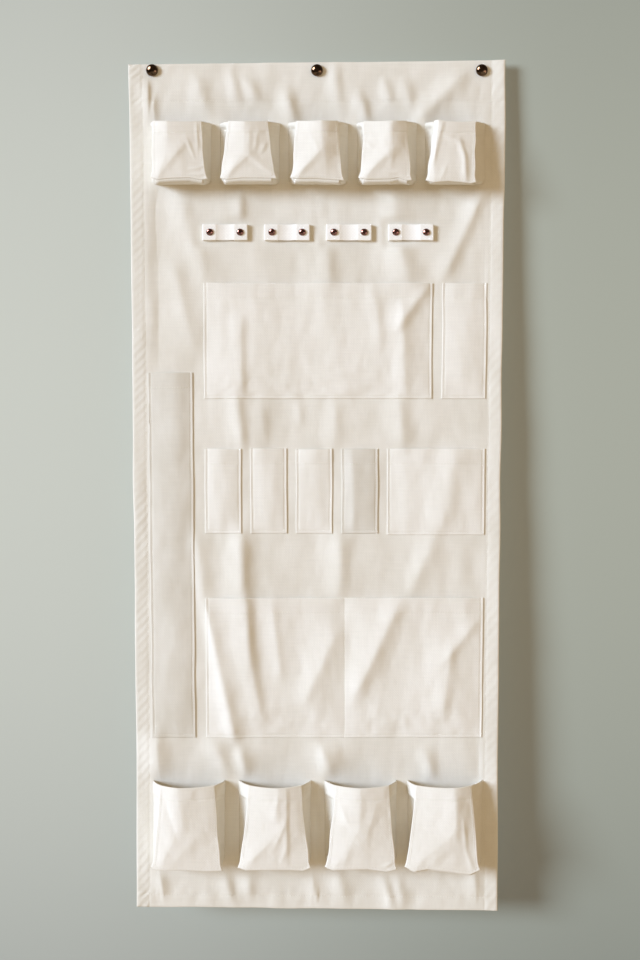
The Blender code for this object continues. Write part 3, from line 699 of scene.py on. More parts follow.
def to_hems(x, z, cloth, share=1.0):
    """Distance inwards from the nearest of the panel's hems, which draw in to a share of their width."""
    side = PANEL_HIGH.x * share - cloth.side_hem - np.abs(x)
    return np.minimum.reduce([side, PANEL_HIGH.z - cloth.top_hem - z, z - PANEL_LOW.z - cloth.foot_hem])


def lift(x, z, cloth):
    """How far the panel's cloth stands off its plain hanging plane: ripples, folds and wrinkles. Inside
    the hems a valley can sink a little towards the wall, and nowhere does the cloth pass through it."""
    folds = cloth.wrinkle * (layered(x, z, 34.0, 88.0, 11) + 0.22 * layered(x, z, 13.0, 21.0, 23))
    for x0, y0, x1, y1, left, right, height in PANEL_FOLDS:
        slopes = (FOLD_WIDTH * left * PIXEL, FOLD_WIDTH * right * PIXEL)
        folds = folds + ridge(x, z, from_photo(x0, y0), from_photo(x1, y1), *slopes, height * MM)
    room = SINK * smooth(to_hems(x, z, cloth, hang_share(z, cloth)) / (7.0 * MM))
    total = broad_ripple(x, z, cloth) + cloth.fold_strength * folds * calm(x, z) + room
    kept = np.log1p(np.exp(np.clip(total / SOFT_STOP, -40.0, 40.0)))
    return SOFT_STOP * (kept - math.log(2.0) * np.exp(-np.abs(total) / SOFT_STOP)) - room


def hem_thickness(cloth):
    """All the layers of the panel's hems together."""
    return cloth.hem_layers * cloth.canvas


def front_depth(x, z, cloth):
    """Distance from the wall to the front of the panel."""
    return hem_thickness(cloth) + lift(x, z, cloth)


# Materials


def node(tree, kind, links=None, **settings):
    """Adds a node with its settings, and links or sets the inputs that `links` names. A node that is
    given there stands for its first output."""
    made = tree.nodes.new(f"ShaderNode{kind}")
    for key, value in settings.items():
        setattr(made, key, value)
    for socket, value in (links or {}).items():
        if isinstance(value, bpy.types.Node):
            value = value.outputs[0]
        if isinstance(value, bpy.types.NodeSocket):
            tree.links.new(value, made.inputs[socket])
        else:
            made.inputs[socket].default_value = value
    return made


def empty_tree(owner):
    """The cleared node tree of a new material or world."""
    owner.use_nodes = True
    owner.node_tree.nodes.clear()
    return owner.node_tree


def rgba(values):
    """A colour with an opacity of 1, as a colour socket takes it."""
    return (values[0], values[1], values[2], 1.0)


def stretched_noise(tree, place, across, up, detail):
    """Noise whose grains are `across` mm wide and `up` mm tall."""
    grains = (1.0 / (across * MM), 1.0 / (up * MM), 1.0)
    mapped = node(tree, "Mapping", {"Vector": place, "Scale": grains})
    return node(tree, "TexNoise", {"Vector": mapped, "Scale": 1.0, "Detail": detail, "Roughness": 0.55})


def woven(tree, place, pitch):
    """Plain weave: the product of two sines, so threads rise and dive in turn, one pitch apart."""
    waves = []
    for way in node(tree, "SeparateXYZ", {"Vector": place}).outputs[:2]:
        turns = node(tree, "Math", {0: way, 1: math.pi / pitch}, operation="MULTIPLY")
        waves.append(node(tree, "Math", {0: turns}, operation="SINE"))
    product = node(tree, "Math", {0: waves[0], 1: waves[1]}, operation="MULTIPLY")
    return node(tree, "Math", {0: product, 1: 0.5, 2: 0.5}, operation="MULTIPLY_ADD")


def cotton(tree, colour_value, shade_value, pitch, roughness):
    """Woven cotton, unbleached: matt, faintly fuzzy, with thicker threads here and there (slubs),
    duller patches, and a weave that breaks the light up evenly. Real threads lie 0.6 mm apart, too
    fine to show at this size, so they are drawn at the pitch given, about 1.5 mm."""
    place = node(tree, "UVMap", uv_map="Flat")
    patches = stretched_noise(tree, place, 55.0, 85.0, 3.0)
    warp = stretched_noise(tree, place, 1.6, 30.0, 2.0)
    weft = stretched_noise(tree, place, 34.0, 1.8, 2.0)
    crumple = stretched_noise(tree, place, 11.0, 14.0, 3.0)
    weave = woven(tree, place, pitch)
    wide = node(tree, "MapRange", {"Value": patches, "From Min": 0.35, "From Max": 0.68})
    tones = {"Factor": wide, 6: rgba(colour_value), 7: rgba(shade_value)}
    base = node(tree, "Mix", tones, data_type="RGBA").outputs[2]
    slubs = node(tree, "Math", {0: warp, 1: weft}, operation="ADD")
    slub_range = {"Value": slubs, "From Min": 0.72, "From Max": 1.28, "To Min": 0.965, "To Max": 1.018}
    slub_tone = node(tree, "MapRange", slub_range)
    weave_tone = node(tree, "MapRange", {"Value": weave, "To Min": 0.965, "To Max": 1.012})
    tone = node(tree, "Math", {0: slub_tone, 1: weave_tone}, operation="MULTIPLY")
    toned = node(tree, "VectorMath", {0: base, 3: tone}, operation="SCALE")
    heights = node(tree, "Math", {0: slubs, 1: 0.55, 2: weave}, operation="MULTIPLY_ADD")
    coarse = node(tree, "Bump", {"Strength": 1.0, "Distance": 0.3 * MM, "Height": crumple})
    relief = {"Strength": 0.75, "Distance": 0.12 * MM, "Height": heights, "Normal": coarse}
    cloth = {"Base Color": toned, "Normal": node(tree, "Bump", relief), "Roughness": roughness}
    fuzz = {"Specular IOR Level": 0.25, "Sheen Weight": 0.12, "Sheen Roughness": 0.5, "Metallic": 0.0}
    return node(tree, "BsdfPrincipled", {**cloth, **fuzz})


def twisted_thread(tree, colour_value):
    """Sewing thread, cotton over polyester: a little smoother and brighter than the cloth."""
    place = node(tree, "TexCoord").outputs["Object"]
    grain = node(tree, "TexNoise", {"Vector": place, "Scale": 900.0, "Detail": 2.0})
    tone = node(tree, "MapRange", {"Value": grain, "To Min": 0.9, "To Max": 1.04})
    toned = node(tree, "VectorMath", {0: colour_value, 3: tone}, operation="SCALE")
    return node(tree, "BsdfPrincipled", {"Base Color": toned, "Roughness": 0.7})


def polished_metal(tree, colour_value, dark_share, roughness, grain_scale):
    """A plated or polished metal: mirror-like, a little duller and darker where handling has
    tarnished it, with fine scratches that only spread its highlight."""
    place = node(tree, "TexCoord").outputs["Object"]
    tarnish = node(tree, "TexNoise", {"Vector": place, "Scale": grain_scale, "Detail": 4.0})
    patch = node(tree, "MapRange", {"Value": tarnish, "From Min": 0.42, "From Max": 0.66})
    dark = [channel * dark_share for channel in colour_value]
    base = node(tree, "Mix", {"Factor": patch, 6: rgba(colour_value), 7: rgba(dark)}, data_type="RGBA")
    dulling = {"From Min": 0.3, "From Max": 0.75, "To Min": roughness, "To Max": roughness + 0.06}
    dulled = node(tree, "MapRange", {"Value": tarnish, **dulling})
    scratches = node(tree, "TexNoise", {"Vector": place, "Scale": grain_scale * 6.0, "Detail": 3.0})
    bump = node(tree, "Bump", {"Strength": 0.35, "Distance": 0.05 * MM, "Height": scratches})
    metal = {"Base Color": base.outputs[2], "Roughness": dulled, "Metallic": 1.0, "Normal": bump}
    return node(tree, "BsdfPrincipled", metal)


def material_named(name):
    """The material of that name, made the first time it is asked for."""
    found = bpy.data.materials.get(name)
    if found is not None:
        return found
    cloth = bpy.context.scene.organizer_cloth
    fittings = bpy.context.scene.organizer_fittings
    pitch = cloth.thread_pitch
    finishes = {
        "cotton_duck": (cotton, cloth.canvas_colour, cloth.canvas_shade, pitch, 0.92),
        # The pale copy of the canvas is painted light: the same cloth drawn paler where the pockets catch
        # more light.
        "pale_cotton_duck": (cotton, cloth.painted_light_pocket_colour, cloth.canvas_colour, pitch, 0.92),
        # The dull copy of the canvas is painted shade: the same cloth drawn darker for pockets that lie in
        # more shade.
        "dull_cotton_duck": (cotton, cloth.painted_shade_pocket_colour, cloth.painted_shade_pocket_patches, pitch, 0.92),
        "bleached_webbing": (cotton, fittings.webbing_colour, fittings.webbing_shade, 1.3 * pitch, 0.86),
        "sewing_thread": (twisted_thread, cloth.thread_colour),
        "handled_copper": (polished_metal, fittings.copper_colour, 0.55, 0.15, 420.0),
        "darkened_brass": (polished_metal, fittings.brass_colour, 0.45, 0.09, 300.0),
        "drawn_brass": (polished_metal, fittings.eyelet_colour, 0.6, 0.3, 400.0),
    }
    finish, *values = finishes[name]
    material = bpy.data.materials.new(name)
    tree = empty_tree(material)
    node(tree, "OutputMaterial", {0: finish(tree, *values)})
    return material


# Panel

NAIL_SIDES = ("left", "centre", "right")
NAILS = [f"hanging_nail_{side}" for side in NAIL_SIDES]

# From the inner edge of the panel's hems out to their stitches
HEM_STITCH = 1.6 * MM

# From the panel's top edge down to where the stitches of its side hems end
LINE_END = 3.0 * MM

# How far the panel's right edge curls away from the wall, and over how many widths of its hem
HEM_CURL = 1.6 * MM
CURL_WIDTHS = 1.3

# Grooves that the panel's stitches pull into it
GROOVE_DEPTH = 0.32 * MM
GROOVE_WIDTH = 1.7 * MM

# The recesses behind the panel that the washers lie in
WASHER_RECESS = 1.8 * MM
WASHER_ROOM = 1.2 * MM
WASHER_STEP = 0.8 * MM

# Extra grid lines: beside each nail, and across each side hem no nearer than this to others
NAIL_LINE = 4.6 * MM
HEM_LINES = 7
LINES_APART = 0.7 * MM


def hem_lines(cloth):
    """The line of stitches along each hem, as half the width between them and their two heights."""
    across = PANEL_HIGH.x - cloth.side_hem + HEM_STITCH
    top = PANEL_HIGH.z - cloth.top_hem + HEM_STITCH
    foot = PANEL_LOW.z + cloth.foot_hem - HEM_STITCH
    return across, top, foot


def nail_places():
    """The three nails' places across the panel."""
    return [(low.x + high.x) / 2.0 for low, high in map(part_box, NAILS)]


def panel_functions(cloth):
    """The panel's middle surface and thickness over its flat cut, x across and z up."""
    half_width = PANEL_HIGH.x
    full = hem_thickness(cloth)
    nails = nail_places()
    washer_low, washer_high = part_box("eyelet_washer_centre")
    eyelet_z = (washer_low.z + washer_high.z) / 2.0
    washer_reach = (washer_high.x - washer_low.x) / 2.0 + WASHER_ROOM
    line_x, line_top, line_foot = hem_lines(cloth)
    curl_run = CURL_WIDTHS * cloth.side_hem

    def thickness(x, z):
        """All hem layers along the four hems and one layer inside them, less the washers' recesses."""
        total = full + (cloth.canvas - full) * smooth(to_hems(x, z, cloth) / cloth.hem_step)
        for nail in nails:
            away = np.hypot(x * hang_share(z, cloth) - nail, z - eyelet_z)
            total = total - WASHER_RECESS * smooth((washer_reach - away) / WASHER_STEP)
        return total

    def roping(x, z):
        """Slanted ridges along the stitched hems, where the seam has pulled the cloth."""
        bend = 0.35 * wavy(z, 60.0, 31)
        strength = 0.75 + 0.45 * wavy(z, 46.0, 37, 4.5)
        left = half_width + x
        right = half_width - x
        wave_left = np.sin(math.tau * ((z - 0.95 * left) / cloth.roping_pitch + bend))
        wave_right = np.sin(math.tau * ((0.8 * z + 0.9 * right) / cloth.roping_pitch - bend))
        from_foot = z - PANEL_LOW.z
        from_top = PANEL_HIGH.z - z
        wave_foot = layered(x, 0.35 * from_foot, 13.0, 18.0, 41)
        wave_top = layered(x + 0.2533 * from_top, 0.3 * from_top, 19.0, 30.0, 43)
        total = strength * wave_left * arch(left / cloth.side_hem)
        total = total + 0.45 * strength * wave_right * arch(right / cloth.side_hem)
        total = total + 0.9 * wave_foot * arch(from_foot / (1.5 * cloth.foot_hem))
        return cloth.roping * (total + 0.7 * wave_top * arch(from_top / (2.0 * cloth.top_hem)))

    def front(x, z):
        """Distance from the wall to the front face: the hanging cloth, its roping, the grooves of its
        stitches, and the curl of its right edge."""
        wide = x * hang_share(z, cloth)
        grooves = [bell(np.abs(x) - line_x, GROOVE_WIDTH)]
        grooves += [bell(z - line, GROOVE_WIDTH) for line in (line_top, line_foot)]
        curled = HEM_CURL * near(half_width - x, curl_run) - GROOVE_DEPTH * np.maximum.reduce(grooves)
        return front_depth(wide, z, cloth) + roping(x, z) * calm(wide, z) + curled

    def middle(x, z):
        """Halfway through the cloth: the sides draw in and sway a little, the top and foot edges slope."""
        sway = 0.7 * MM * wavy(z, 64.0, 53, np.sign(x) + 3.0) * near(half_width - np.abs(x), 34.0 * MM)
        share = x / half_width
        top_slope = (2.5 * share - 0.5 + 0.35 * wavy(x, 48.0, 59)) * MM
        foot_slope = (-2.5 * share + 0.5 * wavy(x, 40.0, 61, 2.5)) * MM
        high = z + top_slope * near(PANEL_HIGH.z - z, 26.0 * MM)
        high = high + foot_slope * near(z - PANEL_LOW.z, 60.0 * MM)
        depth = front(x, z) - 0.5 * thickness(x, z)
        return np.stack([x * hang_share(z, cloth) + sway, -depth, high], axis=-1)

    return middle, thickness


class ORGANIZER_OT_panel(Operator):
    """Builds the canvas panel with its hems, folds and stitches"""

    bl_idname = "organizer.panel"
    bl_label = "Canvas panel"

    def execute(self, context):
        cloth = context.scene.organizer_cloth
        middle, thickness = panel_functions(cloth)
        across, top, foot = hem_lines(cloth)
        beside_nails = [nail + side * NAIL_LINE for nail in nail_places() for side in (-1.0, 0.0, 1.0)]
        u = marks(-PANEL_HIGH.x, PANEL_HIGH.x, cloth.grid_step, [-across, across, *beside_nails])
        hem = np.linspace(PANEL_HIGH.x - cloth.side_hem, PANEL_HIGH.x - 2.0 * MM, HEM_LINES)
        u = np.unique(np.concatenate([u, apart(np.concatenate([-hem, hem]), u, LINES_APART)]))
        v = marks(PANEL_LOW.z, PANEL_HIGH.z, 0.95 * cloth.grid_step, [foot, top, -NAIL_LINE, NAIL_LINE])
        panel = make_sheet("panel_canvas", u, v, middle, thickness, 3, material_named("cotton_duck"))
        end = PANEL_HIGH.z - LINE_END
        hems = [((side * across, foot), (side * across, end)) for side in (-1.0, 1.0)]
        hems += [((-across, level), (across, level)) for level in (foot, top)]
        runs = stitch_runs(middle, thickness, hems)
        behind = hems + [line for outline in sewn_outlines(cloth) for line in outline]
        runs += stitch_runs(middle, thickness, behind, -1.0)
        thread = make_stitches("panel_stitches", runs)
        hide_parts("back_panel")
        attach(panel, MAIN_BODY)
        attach(thread, MAIN_BODY)
        return {"FINISHED"}


# Flat pockets

FLAT_POCKETS = (
    "wide_pocket",
    "narrow_pocket",
    "ruler_pocket",
    "pencil_pocket_1",
    "pencil_pocket_2",
    "pencil_pocket_3",
    "pencil_pocket_4",
    "notepad_pocket",
    "double_pocket",
)

# The pockets drawn in a darker copy of the canvas, as painted shade
PAINTED_SHADE_POCKETS = ("ruler_pocket", "pencil_pocket_4")

# Thickness of the edges that are turned in and pressed, in layers
PRESSED_LAYERS = 1.25

# Grooves of the stitch lines, and how far the hem's line lies above the hem's edge
POCKET_GROOVE = 0.28 * MM
POCKET_GROOVE_WIDTH = 1.1 * MM
DIVIDER_WIDTH = 1.5 * MM
HEM_LINE_RISE = 1.4 * MM

# Pockets wider than this crinkle along their feet
BROAD = 0.1

# Places of a bellows pocket's seam behind the panel: in from its sides and up from its foot
SEAM_IN = 1.5 * MM
SEAM_UP = 2.0 * MM


def flat_outline(name, cloth):
    """Left, right, foot and top of a flat pocket on the flat layout, from its box in the frame."""
    low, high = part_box(name)
    left = low.x / hang_share(high.z if low.x < 0.0 else low.z, cloth)
    right = high.x / hang_share(high.z if high.x > 0.0 else low.z, cloth)
    return left, right, low.z, high.z


def sewn_outlines(cloth):
    """The three lines that sew every pocket to the panel, on the flat layout."""
    inset = bpy.context.scene.organizer_pockets.inset
    found = []
    for name in FLAT_POCKETS:
        left, right, foot, top = flat_outline(name, cloth)
        found.append((left + inset, right - inset, foot + inset, top - 1.0 * MM))
    for name in sorted(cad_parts):
        if "_pocket_gusset_" in name:
            low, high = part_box(name)
            share = hang_share((low.z + high.z) / 2.0, cloth)
            found.append((low.x / share + SEAM_IN, high.x / share - SEAM_IN, low.z + SEAM_UP, high.z))
    return [
        (((left, high), (left, low)), ((right, high), (right, low)), ((left, low), (right, low)))
        for left, right, low, high in found
    ]


def flat_pocket_functions(name, cloth, pockets, seed):
    """A flat pocket's middle surface and thickness: sewn at three sides, puffed in the middle."""
    left, right, foot, top = flat_outline(name, cloth)
    divider = (left + right) / 2.0 if name == "double_pocket" else None
    folded = PRESSED_LAYERS * cloth.canvas
    run = min(pockets.puff_run, 0.42 * (right - left))
    broad = smooth((right - left - BROAD) / BROAD)

    def from_edge(x, z):
        """Distance inwards from the nearest of the three sewn edges."""
        return np.minimum.reduce([x - left, right - x, z - foot])

    def thickness(x, z):
        """Two layers, pressed, along the turned-in edges below the mouth's hem, one everywhere else."""
        doubled = near(from_edge(x, z) - pockets.turn_in, SEAM_STEP)
        doubled = doubled * smooth((top - pockets.hem - z) / SEAM_STEP)
        return cloth.canvas + (folded - cloth.canvas) * doubled

    def sink(x, z):
        """Grooves of the stitch lines, as narrow bells."""
        lines = bell(from_edge(x, z) - pockets.inset, POCKET_GROOVE_WIDTH)
        hem = bell(z - (top - pockets.hem + HEM_LINE_RISE), POCKET_GROOVE_WIDTH)
        lines = np.maximum(lines, 0.8 * hem)
        if divider is not None:
            lines = np.maximum(lines, 1.3 * bell(x - divider, DIVIDER_WIDTH))
        return POCKET_GROOVE * lines

    def front(x, z):
        """Distance from the wall to the pocket's front: panel, seam, cloth, puff, crinkles."""
        across = np.minimum(x - left, right - x)
        if divider is not None:
            across = np.minimum(across, np.abs(x - divider))
        sides = rise(np.maximum(across - pockets.inset, 0.0), run)
        lower = rise(np.maximum(z - foot - pockets.inset, 0.0), 1.5 * run)
        gape = 0.5 + 0.5 * wavy(x, 31.0, seed + 5)
        stand = pockets.puff * lower + pockets.mouth_gap * gape * near(top - z, 38.0 * MM)
        low_down = near(z - foot, 70.0 * MM) * smooth((z - foot) / (9.0 * MM))
        crinkle = layered(x + 0.3 * z, z, 15.0, 11.0, seed)
        fine = (0.25 + 0.95 * low_down * broad) * crinkle + 0.5 * layered(x, z, 22.0, 52.0, seed + 9)
        panel = front_depth(x * hang_share(z, cloth), z, cloth)
        return panel + cloth.seam_gap + folded + (stand + pockets.crinkle * fine) * sides - sink(x, z)

    def middle(x, z):
        """Halfway through the cloth: the front less half the thickness, with edges that sway a little."""
        sway = 0.45 * MM * wavy(z, 40.0, seed + 3, seed)
        droop = 0.5 * MM * wavy(x, 36.0, seed + 7) * near(top - z, 20.0 * MM)
        depth = front(x, z) - 0.5 * thickness(x, z)
        return np.stack([x * hang_share(z, cloth) + sway, -depth, z + droop], axis=-1)

    return middle, thickness, divider


class ORGANIZER_OT_flat_pockets(Operator):
    """Builds the flat pockets: wide, narrow, ruler, pencil, notepad and double"""

    bl_idname = "organizer.flat_pockets"
    bl_label = "Flat pockets"

    def execute(self, context):
        for number, name in enumerate(FLAT_POCKETS):
            self.build(name, 100 + 20 * number, context.scene)
        return {"FINISHED"}

    def build(self, name, seed, scene):
        """One flat pocket, its mouth folded over, and its stitches."""
        cloth = scene.organizer_cloth
        pockets = scene.organizer_pockets
        left, right, foot, top = flat_outline(name, cloth)
        middle, thickness, divider = flat_pocket_functions(name, cloth, pockets, seed)
        line_left = left + pockets.inset
        line_right = right - pockets.inset
        line_foot = foot + pockets.inset
        start = top - BELOW_FOLD
        hem_line = top - pockets.hem + HEM_LINE_RISE
        columns = [line_left, line_right, left + pockets.turn_in, right - pockets.turn_in]
        lines = [
            ((line_left, start), (line_left, line_foot)),
            ((line_left, line_foot), (line_right, line_foot)),
            ((line_right, line_foot), (line_right, start)),
            ((line_left, hem_line), (line_right, hem_line)),
        ]
        if divider is not None:
            columns.append(divider)
            lines.append(((divider, line_foot), (divider, start)))
        u = marks(left, right, pockets.grid_step, columns)
        v = marks(foot, top, pockets.grid_step, [line_foot, foot + pockets.turn_in, hem_line])
        v = hem_marks(v, top, pockets.hem, cloth.canvas)
        over = folded_over(middle, top, cloth.canvas)
        # The listed pockets take the darker copy of the canvas as painted shade, the rest the paler copy as
        # painted light.
        duck = material_named("dull_cotton_duck" if name in PAINTED_SHADE_POCKETS else "pale_cotton_duck")
        piece = make_sheet(f"{name}_canvas", u, v, over, thickness, seed, duck)
        thread = make_stitches(f"{name}_stitches", stitch_runs(middle, thickness, lines))
        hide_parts(name)
        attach(piece, MAIN_BODY)
        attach(thread, MAIN_BODY)


# Bellows pockets

# Width of each front's foot and mouth, and how far each is shifted to the right, as shares of half
# the width sewn to the panel; and where the front's apex lies at mid height, from -1 to 1
SMALL_FOOT = ((0.90, 0.02), (0.90, 0.0), (0.85, -0.03), (0.85, -0.09), (0.80, -0.22))
SMALL_MOUTH = ((0.82, -0.11), (0.66, -0.04), (0.70, -0.04), (0.71, -0.07), (0.70, -0.05))
SMALL_APEX = (-0.35, -0.15, 0.2, 0.3, -0.8)
LARGE_FOOT = ((0.94, 0.02), (0.97, 0.02), (0.95, -0.01), (0.965, -0.13))
LARGE_MOUTH = ((0.76, 0.01), (0.72, 0.03), (0.75, 0.04), (0.74, -0.06))
LARGE_APEX = (-0.3, 0.1, -0.1, 0.35)

# How far each front's foot hangs below (negative) or above its level, in mm, from the left corner
# (-1) to the right one (1)
SMALL_SOLE = (
    ((-1.0, 1.0), (-0.75, -1.5), (-0.3, 0.0), (0.4, 0.8), (0.8, -1.5), (1.0, -0.5)),
    ((-1.0, 0.5), (-0.75, -1.5), (-0.2, 0.3), (0.7, 0.3), (1.0, 0.0)),
    ((-1.0, 1.0), (-0.7, -0.8), (0.0, -0.6), (0.6, -1.8), (1.0, -2.5)),
    ((-1.0, 1.0), (-0.7, -1.5), (0.2, -1.0), (0.5, 1.0), (0.85, -2.5), (1.0, -2.0)),
    ((-1.0, -2.0), (-0.7, -5.0), (-0.1, -3.5), (0.4, -4.5), (0.8, -6.0), (1.0, -4.5)),
)
LARGE_SOLE = (
    ((-1.0, 3.5), (-0.85, 0.4), (0.0, 0.0), (0.6, -1.6), (1.0, -1.0)),
    ((-1.0, 3.0), (-0.8, 0.3), (0.4, 0.2), (0.8, -1.0), (1.0, 2.5)),
    ((-1.0, 4.0), (-0.8, 0.3), (0.2, 1.2), (0.75, -2.2), (1.0, 0.5)),
    ((-1.0, 4.0), (-0.75, -1.5), (-0.4, 1.5), (0.2, -2.0), (0.75, -5.5), (1.0, 0.0)),
)

# How much of the sag at the left, of the belly and of the swell each pocket has
SMALL_FORM = ((0.6, 1.0, 1.0), (1.0, 1.0, 1.0), (1.0, 1.0, 1.4), (1.0, 0.9, 1.3), (0.8, 0.2, 1.0))
LARGE_FORM = ((0.8, 0.3, 1.0), (1.0, 0.3, 1.0), (1.0, 0.3, 1.0), (1.0, 0.5, 1.0))

# Each row of pockets: what sets each pocket apart, and the row's first seed
BELLOWS_ROWS = {
    "small": (list(zip(SMALL_CREASES, SMALL_FOOT, SMALL_MOUTH, SMALL_APEX, SMALL_SOLE, SMALL_FORM)), 310),
    "large": (list(zip(LARGE_CREASES, LARGE_FOOT, LARGE_MOUTH, LARGE_APEX, LARGE_SOLE, LARGE_FORM)), 410),
}

# Shares of a front's height over which its sole evens out and its apex leaves the lower left corner,
# and where that corner's apex lies
SOLE_RISE = 0.32
APEX_RISE = 0.55
FOOT_APEX = -0.72

# From a front's edge in to its stitches, from its mouth down to their ends, and its seam allowances
FRONT_RIM = 3.4 * MM
FRONT_END = 1.0 * MM
FRONT_HEM_RISE = 1.5 * MM
ALLOWANCE = 4.0 * MM

# Where the gusset's base turns down, as a share of its width; the last grid values of that turn; and
# the spacing and the rim of the gusset's grid
BELLY_TURN = 0.82
LAST_SHARES = [0.999, 0.9998, 1.0]
GUSSET_STEP = 1.7 * MM
GUSSET_RIM = 0.9 * MM

# Layers from a front's outer face in to the edge of its gusset
GUSSET_LAYERS = 2.6


class Bellows:
    """Sizes of one bellows pocket, read from its boxes in the frame, and its shape."""

    def __init__(self, kind, number, cloth, settings):
        self.number = number
        self.cloth = cloth
        self.settings = settings
        self.body = f"{kind}_bellows_{number}"
        low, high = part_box(f"{kind}_pocket_gusset_{number}")
        self.centre = (low.x + high.x) / 2.0
        self.half = (high.x - low.x) / 2.0
        self.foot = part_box(f"{kind}_pocket_front_{number}")[0].z
        self.top = high.z
        self.height = self.top - self.foot
        for key in ("depth", "mouth_depth", "crown", "droop", "flap"):
            setattr(self, key, getattr(settings, f"{kind}_{key}"))
        row, seed = BELLOWS_ROWS[kind]
        self.creases, foot, mouth, self.apex, self.sole, form = row[number - 1]
        self.foot_width, self.foot_shift = foot
        self.mouth_width, self.mouth_shift = mouth
        self.tucked, self.bulge, swell = form
        self.crown = swell * self.crown
        self.wide = 0.5 * self.half * (self.foot_width + self.mouth_width)
        self.seed = seed + 10 * (number - 1)
        plain = broad_ripple(np.array([self.centre]), np.array([self.foot]), cloth)[0]
        self.base = hem_thickness(cloth) + plain

    def edge(self, s, t):
        """The front's outer face. It narrows and nears the wall towards the mouth, swells in the
        middle about an apex that drifts to the lower left corner, sags along the mouth, and its two
        lower corners stick out as ears."""
        settings = self.settings
        up = np.clip(t, 0.0, 1.0)
        eased = 0.8 * t + 0.2 * smooth(t)
        width_share = self.foot_width + (self.mouth_width - self.foot_width) * eased
        shift_share = self.foot_shift + (self.mouth_shift - self.foot_shift) * t
        ear = settings.ear * np.clip(1.0 - t * self.height / settings.ear_rise, 0.0, 1.0) ** 1.5 * s**3
        sway = 0.9 * MM * noise(4.5 * t + 0.0 * s, 0.0 * t + np.sign(s), self.seed + 4) * np.abs(s) ** 3
        x = self.centre + self.half * (s * width_share + shift_share) + ear + sway * smooth(t / 0.15)
        stand = self.depth + (self.mouth_depth - self.depth) * up**1.4
        apex = FOOT_APEX + (self.apex - FOOT_APEX) * smooth(t / APEX_RISE)
        beside = np.where(s < apex, (apex - s) / (1.0 + apex), (s - apex) / (1.0 - apex))
        swell = settings.foot_crown + (self.crown - settings.foot_crown) * up**0.5
        crowning = swell * (1.0 - np.clip(beside, 0.0, 1.2) ** 1.5)
        sole = MM * np.interp(s, *zip(*self.sole)) * near(t, SOLE_RISE)
        z = self.foot + (self.height - self.droop * (1.0 - 0.55 * s * s)) * t + sole
        return np.stack([x, -(self.base + stand + crowning), z], axis=-1)

    def front(self, u, v):
        """The front's outer face with its welts, creases and crinkles, over the flat cut."""
        settings = self.settings
        side = self.wide - np.abs(u)
        below = self.height - v
        raised = bell(np.minimum(side, v) - 0.5 * settings.welt, 0.55 * settings.welt)
        relief = settings.welt_height * raised * smooth(below / (6.0 * MM))
        folds = settings.crinkle * layered(u, v, 15.0, 17.0, self.seed)
        for s0, t0, s1, t1, left, right, height in self.creases:
            start = (s0 * self.wide, t0 * self.height)
            end = (s1 * self.wide, t1 * self.height)
            folds = folds + ridge(u, v, start, end, left * MM, right * MM, height * MM)
        free = smooth(side / (5.0 * MM)) * smooth(v / (3.0 * MM)) * smooth(below / (5.0 * MM))
        relief = relief + folds * free
        relief = relief - 0.4 * MM * bell(below - settings.hem + FRONT_HEM_RISE, 1.1 * MM)
        points = self.edge(u / self.wide, v / self.height)
        points[..., 1] -= relief
        return points

    def front_thickness(self, u, v):
        """Two layers along the seams below the mouth's hem, one everywhere else."""
        doubled = near(np.minimum(self.wide - np.abs(u), v) - ALLOWANCE, SEAM_STEP)
        doubled = doubled * smooth((self.height - self.settings.hem - v) / SEAM_STEP)
        return self.cloth.canvas * (1.0 + doubled)

    def front_middle(self, u, v):
        """Halfway through the front's cloth."""
        points = self.front(u, v)
        points[..., 1] += 0.5 * self.front_thickness(u, v)
        return points

    def stations(self):
        """The gusset's path down the left side, round the foot and up the right: rear and front edge,
        the way out, and the length run so far."""
        settings = self.settings
        corner = settings.corner
        setback = settings.setback
        low_share = corner / self.height
        side = np.linspace(1.0, low_share, max(8, round((self.height - corner) / settings.grid_step)))
        turn = np.linspace(0.0, math.pi / 2.0, 9)[1:-1]
        base = np.linspace(-1.0, 1.0, max(8, round(2.0 * self.half / settings.grid_step)))
        base = base * (self.half - corner) / self.half
        none = 0.0 * side
        still = 0.0 * turn

        def joined(at_side, at_turn, at_base):
            """A value's run down one side, round a corner, along the base, and back up."""
            return np.concatenate([at_side, at_turn, at_base, at_turn[::-1], at_side[::-1]])

        t = joined(side, low_share * (1.0 - np.sin(turn)), 0.0 * base)
        angle = joined(none, turn, 0.0 * base + math.pi / 2.0)
        is_base = joined(none, still, 0.0 * base + 1.0) > 0.5
        across = joined(none, still, base)
        beside = np.ones(len(side) + len(turn))
        sign = np.concatenate([-beside, np.sign(base), beside])
        reach = self.half - corner * (1.0 - np.cos(angle))
        rear_x = self.centre + np.where(is_base, across * self.half, sign * reach)
        at_corner = self.foot + corner * (1.0 - np.sin(angle))
        rear_z = np.where(angle == 0.0, self.foot + t * self.height, at_corner)
        rear_y = -(front_depth(rear_x, rear_z, self.cloth) + self.cloth.seam_gap)
        rear = np.stack([rear_x, rear_y, rear_z], axis=-1)
        front = self.edge(np.where(is_base, across, sign), t)
        foot_side = self.edge(sign, 0.0 * sign)[:, 0] - sign * settings.ear
        turned_in = foot_side - sign * (setback + corner * (1.0 - np.cos(angle)))
        front[:, 0] = np.where((angle > 0.0) & ~is_base, turned_in, front[:, 0])
        front[:, 0] -= np.where(angle == 0.0, sign * setback, 0.0)
        front[:, 1] += GUSSET_LAYERS * self.cloth.canvas + self.cloth.seam_gap
        front[:, 2] += setback * np.sin(angle)
        out = np.stack([sign * np.cos(angle), 0.0 * angle, -np.sin(angle)], axis=-1)
        return rear, front, out, run_along(rear)

